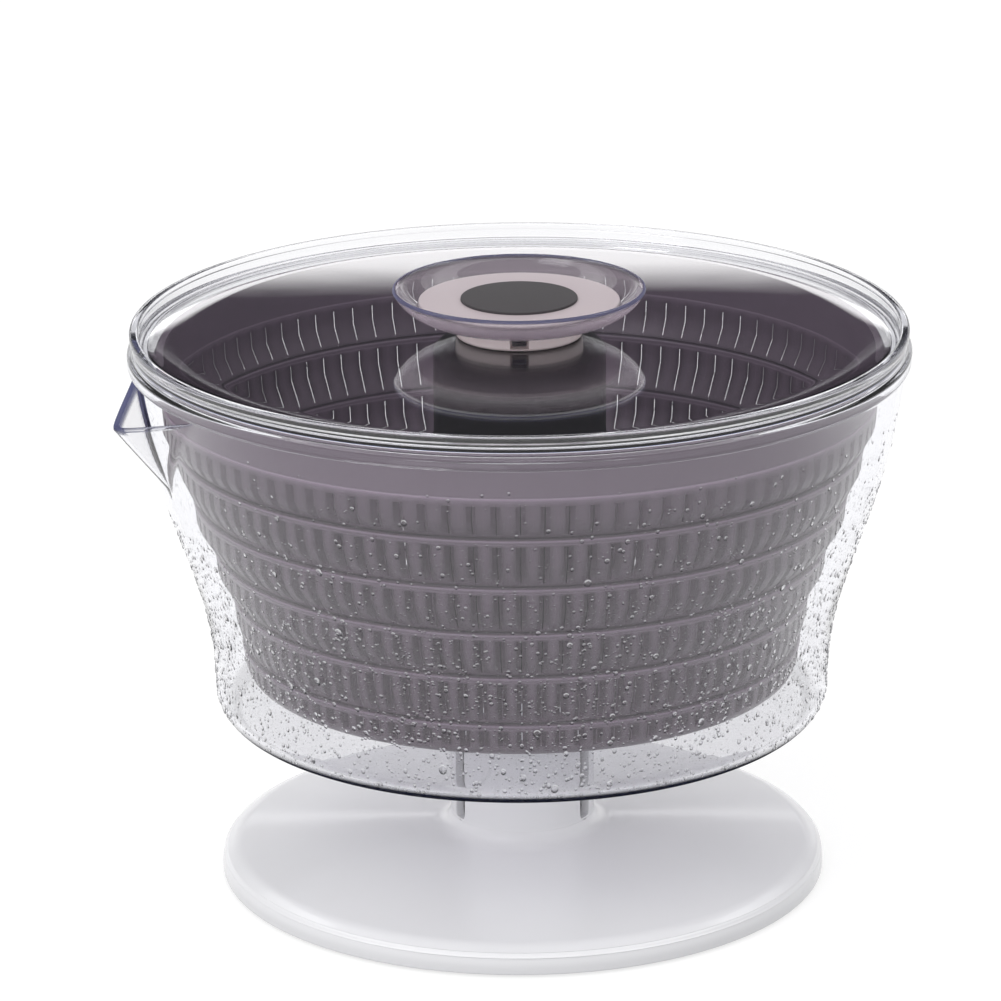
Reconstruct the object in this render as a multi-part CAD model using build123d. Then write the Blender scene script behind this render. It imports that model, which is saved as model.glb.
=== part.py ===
from build123d import *
import os
from math import cos, degrees, radians, sin, sqrt

os.makedirs("parts", exist_ok=True)

# Salad spinner worked by pressing its lid. Millimetres, +Z up, the origin on the table
# under the middle of the base. -Y is the front and the spout points to -X and forward.

# Base disc, its screwed cover and the non-slip ring
BASE_R = 105.6
BASE_SIDE_TOP = 6.3
BASE_EDGE_ROUND = 3.6
BASE_CROWN = 15.4
BASE_WALL = 2.6
BASE_UNDERSIDE = 0.8
COVER_TOP = 3.0
COVER_R = 102.2
COVER_GAP = 0.3
PAD_OUTER = 97.0
PAD_INNER = 90.0
PAD_HEIGHT = 1.6

# Cover screws and the bosses they hold in
SCREW_COUNT = 4
SCREW_FIRST_ANGLE = 45.0
SCREW_CIRCLE_R = 62.0
SCREW_SHANK_R = 1.45
SCREW_HEAD_R = 3.0
SCREW_HEAD_LOW = 0.9
SCREW_HEAD_TOP = 2.0
SCREW_TIP = 8.0
SCREW_CLEARANCE = 0.25
SCREW_RECESS_DEPTH = 0.6
BOSS_R = 4.2
BOSS_HOLE_R = 1.5
BOSS_ROOF_GAP = 2.0

# Stem with its guide slots, which the keys in the bowl's tower run in
STEM_R = 25.2
STEM_BORE = 22.4
STEM_TOP = 106.0
STEM_FOOT_ROUND = 6.5
SLOT_LOW = 20.0
SLOT_WIDTH = 6.0
SLOT_REACH = 9.0
GUIDE_ANGLES = (90, 210, 330)

# Drive nut and the pins that hold it in the stem, between the guide slots
LEAD = 28.0
BAR_PLAY = 0.25
NUT_LOW = 94.0
PIN_R = 1.2
PIN_DEPTH = 7.0
PIN_RISE = 6.0
PIN_SUNK = 0.3
PIN_TURN = 60.0

# Return spring with its seat below and its cup above
SPRING_COIL_R = 12.0
SPRING_WIRE_R = 0.9
SPRING_TURNS = 14
SPRING_LOW = 5.0
SPRING_HIGH = 87.0
SEAT_R = 16.0
SEAT_HOLE_R = 5.0
SEAT_SPIGOT_R = 10.6
SEAT_SPIGOT_RISE = 3.0
CUP_R = 15.5
CUP_HOLE_R = 5.5
CUP_INNER_R = 13.7
CUP_DEPTH = 7.0

# Drive shaft: twisted bar, flange, neck with a clip groove, hexagon head, and a screwed foot
BAR_SIDE = 9.0
BAR_LOW = 93.7
BAR_HIGH = 148.0
FLANGE_R = 17.0
FLANGE_TOP = 152.0
NECK_R = 6.0
NECK_TOP = 159.7
HEX_ACROSS = 9.0
HEX_TOP = 178.0
SHAFT_GROOVE_R = 5.0
SHAFT_GROOVE_WIDTH = 1.0
SHAFT_CLIP_R = 8.5
FOOT_R = 9.5
FOOT_HOLE_R = 1.8
FOOT_THICK = 4.0
FOOT_SCREW_R = 1.5
FOOT_SCREW_HEAD_R = 3.6
FOOT_SCREW_HEAD = 2.4
FOOT_SCREW_REACH = 8.5
FOOT_SCREW_HOLE = 9.0

# Slider: the carrier that the bowl stands on and the washer under it
CARRIER_R = 22.0
CARRIER_FLOOR = 5.0
CARRIER_POCKET_R = 12.0
THRUST_WASHER_R = 16.5
THRUST_WASHER_THICK = 1.5

# Bowl: outer wall as (radius, height) from the corner to the lip
BOWL_WALL = ((106.4, 69.0), (110.0, 100.0), (119.5, 130.0), (128.2, 160.0), (132.4, 186.0))
BOWL_FOOT_TANGENT = (0, 1)
BOWL_LIP_TANGENT = (0.12, 1)
BOWL_CORNER = 9.0
BOWL_THICK = 2.2

# Tower in the middle of the bowl that slides over the stem, with its bearing boss and keys
TOWER_R = 27.3
TOWER_BORE = 25.6
TOWER_TOP = 166.0
TOWER_PLATE = 3.0
BOSS_TOP = 171.0
BEARING_BOSS_R = 13.5
BUSH_R = 10.0
KEY_WIDTH = 5.2
KEY_INNER = 23.0
KEY_ROOT = 0.8
KEY_LOW = 62.2
KEY_HIGH = 82.0

# Spout: a rounded V between two shoulders on the lip, running down to a keel on the wall
SPOUT_ANGLE = 200.0
SPOUT_HALF_ANGLE = 15.7
SPOUT_SHOULDER_R = 131.6
SPOUT_SHOULDER_Z = 185.2
SPOUT_TIP_R = 146.0
SPOUT_TIP_Z = 175.3
SPOUT_KEEL_R = 124.5
SPOUT_KEEL_Z = 147.5
SPOUT_ROUND = 5.0
SPOUT_CUT_HEIGHT = 16.0
SPOUT_WALL_SHARE = 1.6

# Drive socket in the tower's bush, its washer and its clip
SOCKET_LOW = 160.3
SOCKET_JOURNAL_R = 8.0
SOCKET_FLANGE_R = 13.0
SOCKET_FLANGE_LOW = 172.1
SOCKET_FLANGE_TOP = 174.0
SOCKET_TOP = 186.2
SOCKET_GROOVE_LOW = 161.2
SOCKET_GROOVE_WIDTH = 1.1
SOCKET_GROOVE_R = 7.0
SOCKET_CLIP_R = 10.5
SPIGOT_R = 7.0
HEX_PLAY = 0.4
HEX_HEADROOM = 1.0

# Basket: outer wall as (radius, height) at each step, top to bottom, and its slots
BASKET_STEPS = (
    (122.8, 173.0),
    (118.3, 157.9),
    (112.8, 139.5),
    (106.0, 121.5),
    (100.0, 104.2),
    (96.8, 86.3),
)
BASKET_RIM_R = 124.6
BASKET_RIM_TOP = 188.5
BASKET_RIM_THICK = 2.0
BASKET_THICK = 1.9
BASKET_FLOOR = 74.0
BASKET_FLOOR_R = 88.0
BASKET_TURN_RISE = 6.5
BASKET_CHAMFER = 5.0
BASKET_CHAMFER_RISE = 1.4
BASKET_INNER_CHAMFER = 2.5
BASKET_INNER_RISE = 1.0
BASKET_INNER_SET = 2.0
BASKET_WELD = 79.0
STEP_UPRIGHT = 7.4
STEP_TAPER = 0.6
STEP_LEDGE = 0.9
STEP_LEDGE_RISE = 0.7
WALL_SLOTS = 96
WALL_SLOT_WIDTH = 2.9
WALL_SLOT_ABOVE = 2.2
WALL_SLOT_BELOW = 1.8
WALL_SLOT_FOOT = 3.0
WALL_SLOT_IN = 9.0
WALL_SLOT_OUT = 3.0
FLOOR_SLOT_WIDTH = 3.0
FLOOR_INNER_SLOTS = 24
FLOOR_INNER_SPAN = (40.0, 57.0)
FLOOR_OUTER_SLOTS = 48
FLOOR_OUTER_SPAN = (63.0, 81.0)
FLOOR_SLOT_CUT = 4.0

# Column of the basket with its foot flange, roof, bush and washer
COLUMN_R = 29.6
COLUMN_BORE = 28.0
COLUMN_TOP = 189.3
COLUMN_ROUND = 5.0
COLUMN_LOW = 72.5
COLUMN_FLANGE_R = 32.0
COLUMN_FLANGE_THICK = 2.0
COLUMN_ROOF = 187.1
COLUMN_SHOULDER = 185.5
COLUMN_SHOULDER_R = 24.6
COLUMN_BUSH_HEIGHT = 10.0
COLUMN_BUSH_PLAY = 0.08
COLUMN_WASHER_R = 12.8
COLUMN_WASHER_THICK = 1.3

# One-way clutch in the column's roof
CLUTCH_BOSS_R = 14.0
CLUTCH_R = 11.4
CLUTCH_INNER_R = 10.0
CLUTCH_GAP = 0.2
ROLLER_COUNT = 10
ROLLER_R = 1.45
ROLLER_CIRCLE_R = 8.5
ROLLER_END_GAP = 0.5

# Lid: plate, raised edge ring with a bead at its foot, and a centring skirt
LID_PLATE_R = 127.4
LID_PLATE_TOP = 193.0
LID_PLATE_LOW = 190.6
LID_RING_R = 133.2
LID_RING_INNER = 130.0
LID_RING_TOP = 197.4
LID_RING_LOW = 186.05
LID_RING_LAND = 2.6
LID_BEAD_R = 134.2
LID_BEAD_FOOT = 0.8
LID_BEAD_TOP = 3.8
LID_SKIRT_R = 128.4
LID_SKIRT_INNER = 126.4
LID_SKIRT_LOW = 181.5
LID_EDGE = 0.6
LID_STEP = 1.0

# Knob: collar with snap windows, clear dish with tabs, satin disc and dark cap
COLLAR_R = 21.5
COLLAR_INNER = 14.6
COLLAR_ROUND = 4.4
COLLAR_TOP = 197.8
COLLAR_SILL = 1.0
WINDOW_COUNT = 3
WINDOW_FIRST_ANGLE = 270.0
WINDOW_WIDTH = 6.4
DISH_RIM_R = 43.3
DISH_RIM_Z = 210.0
DISH_RIM_THICK = 1.9
DISH_THICK = 2.0
DISH_LEDGE = 0.5
DISH_OUTER_WAIST = (34.0, 200.9)
DISH_INNER_WAIST = (35.0, 203.9)
DISH_FOOT_TANGENT = (1, 0.12)
DISH_RIM_TANGENT = (0.62, 1)
DISH_BOSS_R = 12.0
TAB_THICK = 2.2
TAB_WIDTH = 5.2
TAB_GAP = 0.2
TAB_LOW = 194.4
HOOK_TOP = 196.0
HOOK_SUNK = 1.6
DISC_R = 34.4
DISC_TOP = 205.6
DISC_THICK = 1.5
CAP_R = 20.0
CAP_TOP = 206.5
CAP_ROUND = 0.4

# Small gaps: a running fit, the gap between faces that only meet, and a cutter's overlap
RUN = 0.05
MEET = 0.1
OVERLAP = 1.0
STANDING = (Align.CENTER, Align.CENTER, Align.MIN)


def turned(*corners):
    """A solid turned about Z from (radius, height) corners joined by straight lines."""
    outline = Plane.XZ * make_face(Polyline(*corners, close=True))
    return revolve(outline, Axis.Z)


def turned_outline(*edges):
    """A solid turned about Z from edges drawn as (radius, height) that close on themselves."""
    outline = Plane.XZ * make_face(edges)
    return revolve(outline, Axis.Z)


def tube(outer, inner, low, high):
    """A round tube, or a plain cylinder where inner is 0, between two heights."""
    solid = Pos(0, 0, low) * Cylinder(outer, high - low, align=STANDING)
    if inner:
        solid -= Pos(0, 0, low) * Cylinder(inner, high - low, align=STANDING)
    return solid


def rod(radius, start, length, height):
    """A round rod along +X that starts at one distance from Z, at one height."""
    return Pos(start, 0, height) * Rot(0, 90, 0) * Cylinder(radius, length, align=STANDING)


def around(shape, count, first=0.0):
    """Copies of a shape spaced evenly round Z, the first one turned by first degrees."""
    return [Rot(0, 0, first + 360 * i / count) * shape for i in range(count)]


def block(radius_low, radius_high, width, low, high):
    """A radial block: along +X between two radii, of one width, between two heights."""
    length = radius_high - radius_low
    return Pos(radius_low + length / 2, 0, low) * Box(length, width, high - low, align=STANDING)


def sector(radius_low, radius_high, width, low, high):
    """A radial block whose two sides lie on planes through Z, with its width at the outer radius."""
    angle = degrees(width / radius_high)
    middle = Pos((radius_low + radius_high) / 2, (low + high) / 2)
    section = Plane.XZ * middle * Rectangle(radius_high - radius_low, high - low)
    return Rot(0, 0, -angle / 2) * revolve(section, Axis.Z, revolution_arc=angle)


def screw(shank_r, head_r, head_low, head_high, tip):
    """A cross-head screw on Z with its head below, then a shank up to its tip."""
    solid = tube(head_r, 0, head_low, head_high) + tube(shank_r, 0, head_high, tip)
    recess = Pos(0, 0, head_low) * Box(head_r, head_r / 4, SCREW_RECESS_DEPTH, align=STANDING)
    return solid - recess - Rot(0, 0, 90) * recess


def open_ring(outer, inner, mouth, low, high):
    """A flat retaining clip: a ring with a mouth of one width towards +X."""
    ring = tube(outer, inner + RUN, low + RUN, high - RUN)
    return ring - block(0, outer + OVERLAP, mouth, low, high)


def hexagon(across, low, high):
    """A hexagonal prism on Z, given by its width across flats."""
    return Pos(0, 0, low) * extrude(RegularPolygon(across / sqrt(3), 6), high - low)


def twisted_bar(side, low, high):
    """A square bar twisted left-handed about Z, one turn in LEAD, in step with height 0."""
    turn_at = -360 * low / LEAD
    section = Pos(0, 0, low) * Rot(0, 0, turn_at) * Rectangle(side, side)
    sweep_angle = -360 * (high - low) / LEAD
    return Solid.extrude_linear_with_rotation(
        section.face(), center=(0, 0, low), normal=(0, 0, high - low), angle=sweep_angle
    )


# Base: a crowned white disc moulded with its hollow stem, closed below by a screwed cover
def make_base_shell():
    edge_r = BASE_R - BASE_EDGE_ROUND
    edge_z = BASE_SIDE_TOP + BASE_EDGE_ROUND
    foot_r = STEM_R + STEM_FOOT_ROUND
    foot_z = BASE_CROWN + STEM_FOOT_ROUND
    crown_in = BASE_CROWN - BASE_WALL
    skin = turned_outline(
        Line((0, BASE_UNDERSIDE), (BASE_R, BASE_UNDERSIDE)),
        Line((BASE_R, BASE_UNDERSIDE), (BASE_R, BASE_SIDE_TOP)),
        RadiusArc((BASE_R, BASE_SIDE_TOP), (edge_r, edge_z), -BASE_EDGE_ROUND),
        Line((edge_r, edge_z), (foot_r, BASE_CROWN)),
        RadiusArc((foot_r, BASE_CROWN), (STEM_R, foot_z), STEM_FOOT_ROUND),
        Line((STEM_R, foot_z), (STEM_R, STEM_TOP)),
        Line((STEM_R, STEM_TOP), (0, STEM_TOP)),
        Line((0, STEM_TOP), (0, BASE_UNDERSIDE)),
    )
    hollow = turned(
        (STEM_R, COVER_TOP),
        (COVER_R - BASE_WALL, COVER_TOP),
        (COVER_R - BASE_WALL, edge_z - BASE_WALL),
        (STEM_R, crown_in),
    )
    recess = tube(COVER_R + COVER_GAP, 0, BASE_UNDERSIDE, COVER_TOP)
    bore = tube(STEM_BORE, 0, COVER_TOP, STEM_TOP)
    shell = skin - hollow - recess - bore
    slot_centre = SLOT_LOW + SLOT_WIDTH / 2
    slot_end = STEM_R + SLOT_REACH
    slot = block(STEM_BORE - OVERLAP, slot_end, SLOT_WIDTH, slot_centre, STEM_TOP)
    slot += rod(SLOT_WIDTH / 2, 0, slot_end, slot_centre)
    pin_hole = rod(PIN_R, 0, STEM_R + OVERLAP, NUT_LOW + PIN_RISE)
    for angle in GUIDE_ANGLES:
        shell -= Rot(0, 0, angle) * slot
        shell -= Rot(0, 0, angle + PIN_TURN) * pin_hole
    boss = tube(BOSS_R, BOSS_HOLE_R, COVER_TOP, crown_in - BOSS_ROOF_GAP)
    for place in around(Pos(SCREW_CIRCLE_R, 0, 0) * boss, SCREW_COUNT, SCREW_FIRST_ANGLE):
        shell += place
    return shell


def make_base_cover():
    plate = tube(COVER_R, 0, BASE_UNDERSIDE, COVER_TOP)
    cover = plate - tube(PAD_OUTER, PAD_INNER, BASE_UNDERSIDE, PAD_HEIGHT)
    hole = tube(SCREW_SHANK_R + SCREW_CLEARANCE, 0, BASE_UNDERSIDE, COVER_TOP)
    hole += tube(SCREW_HEAD_R + SCREW_CLEARANCE, 0, BASE_UNDERSIDE, SCREW_HEAD_TOP)
    for place in around(Pos(SCREW_CIRCLE_R, 0, 0) * hole, SCREW_COUNT, SCREW_FIRST_ANGLE):
        cover -= place
    return cover


def make_cover_screws():
    one = screw(SCREW_SHANK_R, SCREW_HEAD_R, SCREW_HEAD_LOW, SCREW_HEAD_TOP, SCREW_TIP)
    return around(Pos(SCREW_CIRCLE_R, 0, 0) * one, SCREW_COUNT, SCREW_FIRST_ANGLE)


def make_non_slip_ring():
    return tube(PAD_OUTER, PAD_INNER, 0, PAD_HEIGHT)


# Drive nut: a round block fixed in the top of the stem, with a twisted square hole
def make_drive_nut():
    hole = twisted_bar(BAR_SIDE + 2 * BAR_PLAY, NUT_LOW - OVERLAP, STEM_TOP + OVERLAP)
    nut = tube(STEM_BORE, 0, NUT_LOW, STEM_TOP) - hole
    pin_hole = rod(PIN_R, STEM_BORE - PIN_DEPTH, PIN_DEPTH + OVERLAP, NUT_LOW + PIN_RISE)
    for angle in GUIDE_ANGLES:
        nut -= Rot(0, 0, angle + PIN_TURN) * pin_hole
    return nut


def make_nut_pins():
    start = STEM_BORE - PIN_DEPTH
    pin = rod(PIN_R, start, STEM_R - PIN_SUNK - start, NUT_LOW + PIN_RISE)
    return [Rot(0, 0, angle + PIN_TURN) * pin for angle in GUIDE_ANGLES]


# Return spring: a coil between a steel seat on the cover and a cup under the shaft's foot
def make_return_spring():
    rise = SPRING_HIGH - SPRING_LOW - 2 * SPRING_WIRE_R
    start = (0, 0, SPRING_LOW + SPRING_WIRE_R)
    path = Helix(rise / SPRING_TURNS, rise, SPRING_COIL_R, center=start)
    wire = Plane(path @ 0, z_dir=path % 0) * Circle(SPRING_WIRE_R)
    return sweep(wire, path=path, is_frenet=True)


def make_spring_seat():
    seat = tube(SEAT_R, SEAT_HOLE_R, COVER_TOP, SPRING_LOW)
    return seat + tube(SEAT_SPIGOT_R, SEAT_HOLE_R, SPRING_LOW, SPRING_LOW + SEAT_SPIGOT_RISE)


def make_spring_cup():
    roof = tube(CUP_R, CUP_HOLE_R, SPRING_HIGH, BAR_LOW - FOOT_THICK - MEET)
    return roof + tube(CUP_R, CUP_INNER_R, SPRING_HIGH - CUP_DEPTH, SPRING_HIGH)


# Slider: the carrier that the bowl's tower stands on, riding the shaft's flange on a washer
def make_bearing_carrier():
    low = FLANGE_TOP + THRUST_WASHER_THICK
    ring = tube(CARRIER_R, NECK_R + RUN, low, TOWER_TOP - TOWER_PLATE - MEET)
    return ring - tube(CARRIER_POCKET_R, 0, low + CARRIER_FLOOR, TOWER_TOP)


def make_thrust_washer():
    top = FLANGE_TOP + THRUST_WASHER_THICK
    return tube(THRUST_WASHER_R, NECK_R + RUN, FLANGE_TOP + RUN, top)


# Drive shaft: the twisted bar with its flange, neck and hexagon head
def make_drive_shaft():
    shaft = Part() + twisted_bar(BAR_SIDE, BAR_LOW, BAR_HIGH)
    shaft += tube(FLANGE_R, 0, BAR_HIGH, FLANGE_TOP)
    shaft += tube(NECK_R, 0, FLANGE_TOP, NECK_TOP)
    shaft += hexagon(HEX_ACROSS, NECK_TOP, HEX_TOP)
    shaft -= tube(NECK_R + OVERLAP, SHAFT_GROOVE_R, NECK_TOP - SHAFT_GROOVE_WIDTH, NECK_TOP)
    return shaft - tube(FOOT_SCREW_R, 0, BAR_LOW, BAR_LOW + FOOT_SCREW_HOLE)


def make_shaft_clip():
    low = NECK_TOP - SHAFT_GROOVE_WIDTH
    return open_ring(SHAFT_CLIP_R, SHAFT_GROOVE_R, SHAFT_GROOVE_R, low, NECK_TOP)


def make_shaft_foot():
    return tube(FOOT_R, FOOT_HOLE_R, BAR_LOW - FOOT_THICK, BAR_LOW)


def make_foot_screw():
    head_top = BAR_LOW - FOOT_THICK
    head_low = head_top - FOOT_SCREW_HEAD
    return screw(FOOT_SCREW_R, FOOT_SCREW_HEAD_R, head_low, head_top, BAR_LOW + FOOT_SCREW_REACH)


# Bowl: clear, with a pouring spout and a hole in its floor for the tower
def bowl_form(inset):
    """The bowl's outline turned about Z, its skin moved in by inset."""
    low_r, low_z = BOWL_WALL[0]
    centre_r = low_r - BOWL_CORNER
    corner_r = BOWL_CORNER - inset
    floor = low_z - corner_r
    wall_points = [(radius - inset, height) for radius, height in BOWL_WALL]
    lip_r, lip_z = wall_points[-1]
    return turned_outline(
        Line((0, floor), (centre_r, floor)),
        CenterArc((centre_r, low_z), corner_r, -90, 90),
        Spline(*wall_points, tangents=[BOWL_FOOT_TANGENT, BOWL_LIP_TANGENT]),
        Line((lip_r, lip_z), (0, lip_z)),
        Line((0, lip_z), (0, floor)),
    )


def spout_lip(inset):
    """The spout's lip: a rounded V in the sloping plane through its shoulders and tip."""
    half = radians(SPOUT_HALF_ANGLE)
    back_r = SPOUT_SHOULDER_R * cos(half)
    drawn_in = SPOUT_WALL_SHARE * inset
    half_width = SPOUT_SHOULDER_R * sin(half) - drawn_in
    run = Vector(SPOUT_TIP_R - back_r, 0, SPOUT_TIP_Z - SPOUT_SHOULDER_Z)
    reach = run.length - drawn_in
    slope = run.normalized()
    upward = slope.cross(Vector(0, 1, 0))
    lip_plane = Plane((back_r, 0, SPOUT_SHOULDER_Z), x_dir=slope, z_dir=upward)
    corners = make_face(Polyline((0, -half_width), (reach, 0), (0, half_width), close=True))
    tip = corners.vertices().sort_by(Axis.X)[-1]
    return lip_plane * fillet(tip, SPOUT_ROUND - inset)


def spout_form(inset):
    """The solid between the spout's lip and its keel on the bowl's wall."""
    keel = Vertex(SPOUT_KEEL_R - inset / 2, 0, SPOUT_KEEL_Z + 2 * inset)
    return loft([spout_lip(inset), keel])


def make_bowl():
    turn = Rot(0, 0, SPOUT_ANGLE)
    floor = BOWL_WALL[0][1] - BOWL_CORNER
    outer = bowl_form(0) + turn * spout_form(0)
    bowl = outer - bowl_form(BOWL_THICK) - turn * spout_form(BOWL_THICK)
    bowl -= turn * extrude(spout_lip(0), SPOUT_CUT_HEIGHT, dir=(0, 0, 1))
    return bowl - tube(TOWER_R, 0, floor - OVERLAP, floor + BOWL_THICK + OVERLAP)


# Tower: a clear tube welded into the bowl's floor, with a bearing boss above and keys below
def make_bowl_tower():
    floor = BOWL_WALL[0][1] - BOWL_CORNER
    tower = tube(TOWER_R, TOWER_BORE, floor, TOWER_TOP)
    tower += tube(TOWER_R, BUSH_R, TOWER_TOP - TOWER_PLATE, TOWER_TOP)
    tower += tube(BEARING_BOSS_R, BUSH_R, TOWER_TOP, BOSS_TOP)
    key = block(KEY_INNER, TOWER_BORE + KEY_ROOT, KEY_WIDTH, KEY_LOW, KEY_HIGH)
    for angle in GUIDE_ANGLES:
        tower += Rot(0, 0, angle) * key
    return tower


# Drive socket: turns in the tower's bush, takes the hexagon below and the clutch above
def make_socket_bush():
    return tube(BUSH_R, SOCKET_JOURNAL_R + RUN, TOWER_TOP - TOWER_PLATE, BOSS_TOP)


def make_socket_washer():
    return tube(SOCKET_FLANGE_R, SOCKET_JOURNAL_R + RUN, BOSS_TOP, SOCKET_FLANGE_LOW - RUN)


def make_drive_socket():
    socket = tube(SOCKET_JOURNAL_R, 0, SOCKET_LOW, SOCKET_FLANGE_LOW)
    socket += tube(SOCKET_FLANGE_R, 0, SOCKET_FLANGE_LOW, SOCKET_FLANGE_TOP)
    socket += tube(SPIGOT_R, 0, SOCKET_FLANGE_TOP, SOCKET_TOP)
    socket -= hexagon(HEX_ACROSS + HEX_PLAY, SOCKET_LOW, HEX_TOP + HEX_HEADROOM)
    groove_top = SOCKET_GROOVE_LOW + SOCKET_GROOVE_WIDTH
    return socket - tube(SOCKET_JOURNAL_R + OVERLAP, SOCKET_GROOVE_R, SOCKET_GROOVE_LOW, groove_top)


def make_socket_clip():
    groove_top = SOCKET_GROOVE_LOW + SOCKET_GROOVE_WIDTH
    return open_ring(SOCKET_CLIP_R, SOCKET_GROOVE_R, SOCKET_GROOVE_R, SOCKET_GROOVE_LOW, groove_top)


# Basket: bands of upright slots, each topped by a small ledge, and a rolled rim
def basket_outside():
    """The basket's outer wall from the rim to the foot of its last band, as (radius, height) corners."""
    points = [(BASKET_STEPS[0][0], BASKET_RIM_TOP - BASKET_RIM_THICK)]
    for step, (radius, height) in enumerate(BASKET_STEPS):
        if step:
            points.append((radius - STEP_LEDGE, height + STEP_LEDGE_RISE))
        points.append((radius, height))
        points.append((radius - STEP_TAPER, height - STEP_UPRIGHT))
    points[-1] = (BASKET_STEPS[-1][0] - STEP_TAPER, BASKET_FLOOR + BASKET_TURN_RISE)
    return points


def floor_edge(foot, turn):
    """The point at the height of the weld, on the line from the wall's foot to the floor's turn."""
    share = (foot[1] - BASKET_WELD) / (foot[1] - turn[1])
    return (foot[0] + share * (turn[0] - foot[0]), BASKET_WELD)


OUTER_TURN = (BASKET_FLOOR_R + BASKET_CHAMFER, BASKET_FLOOR + BASKET_CHAMFER_RISE)
INNER_FLOOR = BASKET_FLOOR + BASKET_THICK
INNER_TURN = (BASKET_FLOOR_R + BASKET_INNER_CHAMFER, INNER_FLOOR + BASKET_INNER_RISE)
OUTSIDE = basket_outside()
INSIDE = [(radius - BASKET_THICK, height) for radius, height in OUTSIDE]
OUTER_WELD = floor_edge(OUTSIDE[-1], OUTER_TURN)
INNER_WELD = floor_edge(INSIDE[-1], INNER_TURN)


def make_basket():
    inner_top = (INSIDE[0][0], BASKET_RIM_TOP)
    rim_low = BASKET_RIM_TOP - BASKET_RIM_THICK
    rim = ((BASKET_RIM_R, BASKET_RIM_TOP), (BASKET_RIM_R, rim_low))
    basket = turned(inner_top, *rim, *OUTSIDE, OUTER_WELD, INNER_WELD, *reversed(INSIDE[1:]))
    lows = [height for radius, height in BASKET_STEPS[1:]] + [BASKET_FLOOR + WALL_SLOT_FOOT]
    slots = []
    for (radius, top), low in zip(BASKET_STEPS, lows):
        span = (radius - WALL_SLOT_IN, radius + WALL_SLOT_OUT)
        slot = sector(*span, WALL_SLOT_WIDTH, low + WALL_SLOT_ABOVE, top - WALL_SLOT_BELOW)
        slots += around(slot, WALL_SLOTS)
    return basket - slots


# Basket floor: a slotted plate with a turned-up edge, welded to the wall's foot
def make_basket_floor():
    under = ((BASKET_FLOOR_R, BASKET_FLOOR), (COLUMN_R, BASKET_FLOOR))
    over = ((COLUMN_R, INNER_FLOOR), (BASKET_FLOOR_R - BASKET_INNER_SET, INNER_FLOOR))
    floor = turned(OUTER_WELD, OUTER_TURN, *under, *over, INNER_TURN, INNER_WELD)
    cut = (BASKET_FLOOR - OVERLAP, BASKET_FLOOR + FLOOR_SLOT_CUT)
    slots = around(sector(*FLOOR_INNER_SPAN, FLOOR_SLOT_WIDTH, *cut), FLOOR_INNER_SLOTS)
    slots += around(sector(*FLOOR_OUTER_SPAN, FLOOR_SLOT_WIDTH, *cut), FLOOR_OUTER_SLOTS)
    return floor - slots


def make_basket_column():
    foot_z = BASKET_FLOOR + BASKET_THICK
    column = tube(COLUMN_R, 0, COLUMN_LOW, COLUMN_TOP)
    column = fillet(column.edges().group_by(Axis.Z)[-1], COLUMN_ROUND)
    column += tube(COLUMN_FLANGE_R, 0, foot_z, foot_z + COLUMN_FLANGE_THICK)
    column -= tube(COLUMN_BORE, 0, COLUMN_LOW, COLUMN_SHOULDER)
    column -= tube(COLUMN_SHOULDER_R, 0, COLUMN_SHOULDER, COLUMN_ROOF)
    boss_low = SOCKET_FLANGE_TOP + COLUMN_WASHER_THICK
    return column + tube(CLUTCH_BOSS_R, CLUTCH_R, boss_low, COLUMN_ROOF)


def make_column_bush():
    high = COLUMN_LOW + COLUMN_BUSH_HEIGHT
    return tube(COLUMN_BORE, TOWER_R + COLUMN_BUSH_PLAY, COLUMN_LOW, high)


def make_column_washer():
    top = SOCKET_FLANGE_TOP + COLUMN_WASHER_THICK
    return tube(COLUMN_WASHER_R, SPIGOT_R + RUN, SOCKET_FLANGE_TOP + RUN, top)


# One-way clutch: a ring in the column's roof with rollers that run on the socket's spigot
def make_clutch_ring():
    low = SOCKET_FLANGE_TOP + COLUMN_WASHER_THICK
    return tube(CLUTCH_R, CLUTCH_INNER_R, low, SOCKET_TOP - CLUTCH_GAP)


def make_clutch_rollers():
    low = SOCKET_FLANGE_TOP + COLUMN_WASHER_THICK + ROLLER_END_GAP
    roller = tube(ROLLER_R, 0, low, SOCKET_TOP - CLUTCH_GAP - ROLLER_END_GAP)
    return around(Pos(ROLLER_CIRCLE_R, 0, 0) * roller, ROLLER_COUNT)


# Lid: a flat clear plate set in a raised edge ring, whose skirt centres it in the bowl
def make_lid_plate():
    return tube(LID_PLATE_R, 0, LID_PLATE_LOW, LID_PLATE_TOP)


def make_lid_ring():
    rebate = LID_PLATE_LOW - LID_STEP
    waist_r = LID_RING_R - LID_EDGE
    land_low = LID_RING_TOP - LID_RING_LAND
    bead_low = LID_RING_LOW + LID_BEAD_FOOT
    bead_top = LID_RING_LOW + LID_BEAD_TOP
    return turned(
        (LID_PLATE_R, LID_PLATE_LOW),
        (LID_SKIRT_INNER, LID_PLATE_LOW),
        (LID_SKIRT_INNER, LID_SKIRT_LOW),
        (LID_SKIRT_R, LID_SKIRT_LOW),
        (LID_SKIRT_R, rebate),
        (LID_RING_INNER, rebate),
        (LID_RING_INNER, LID_RING_LOW),
        (LID_BEAD_R - LID_EDGE, LID_RING_LOW),
        (LID_BEAD_R, bead_low),
        (LID_BEAD_R, bead_top),
        (waist_r, bead_top + LID_STEP),
        (waist_r, land_low),
        (LID_RING_R, land_low + LID_EDGE),
        (LID_RING_R, LID_RING_TOP - LID_EDGE),
        (waist_r, LID_RING_TOP),
        (LID_RING_INNER + LID_EDGE, LID_RING_TOP),
        (LID_RING_INNER, LID_RING_TOP - LID_EDGE),
        (LID_RING_INNER, LID_PLATE_TOP + LID_STEP),
        (LID_RING_INNER - LID_STEP, LID_PLATE_TOP),
        (LID_PLATE_R, LID_PLATE_TOP),
    )


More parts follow.
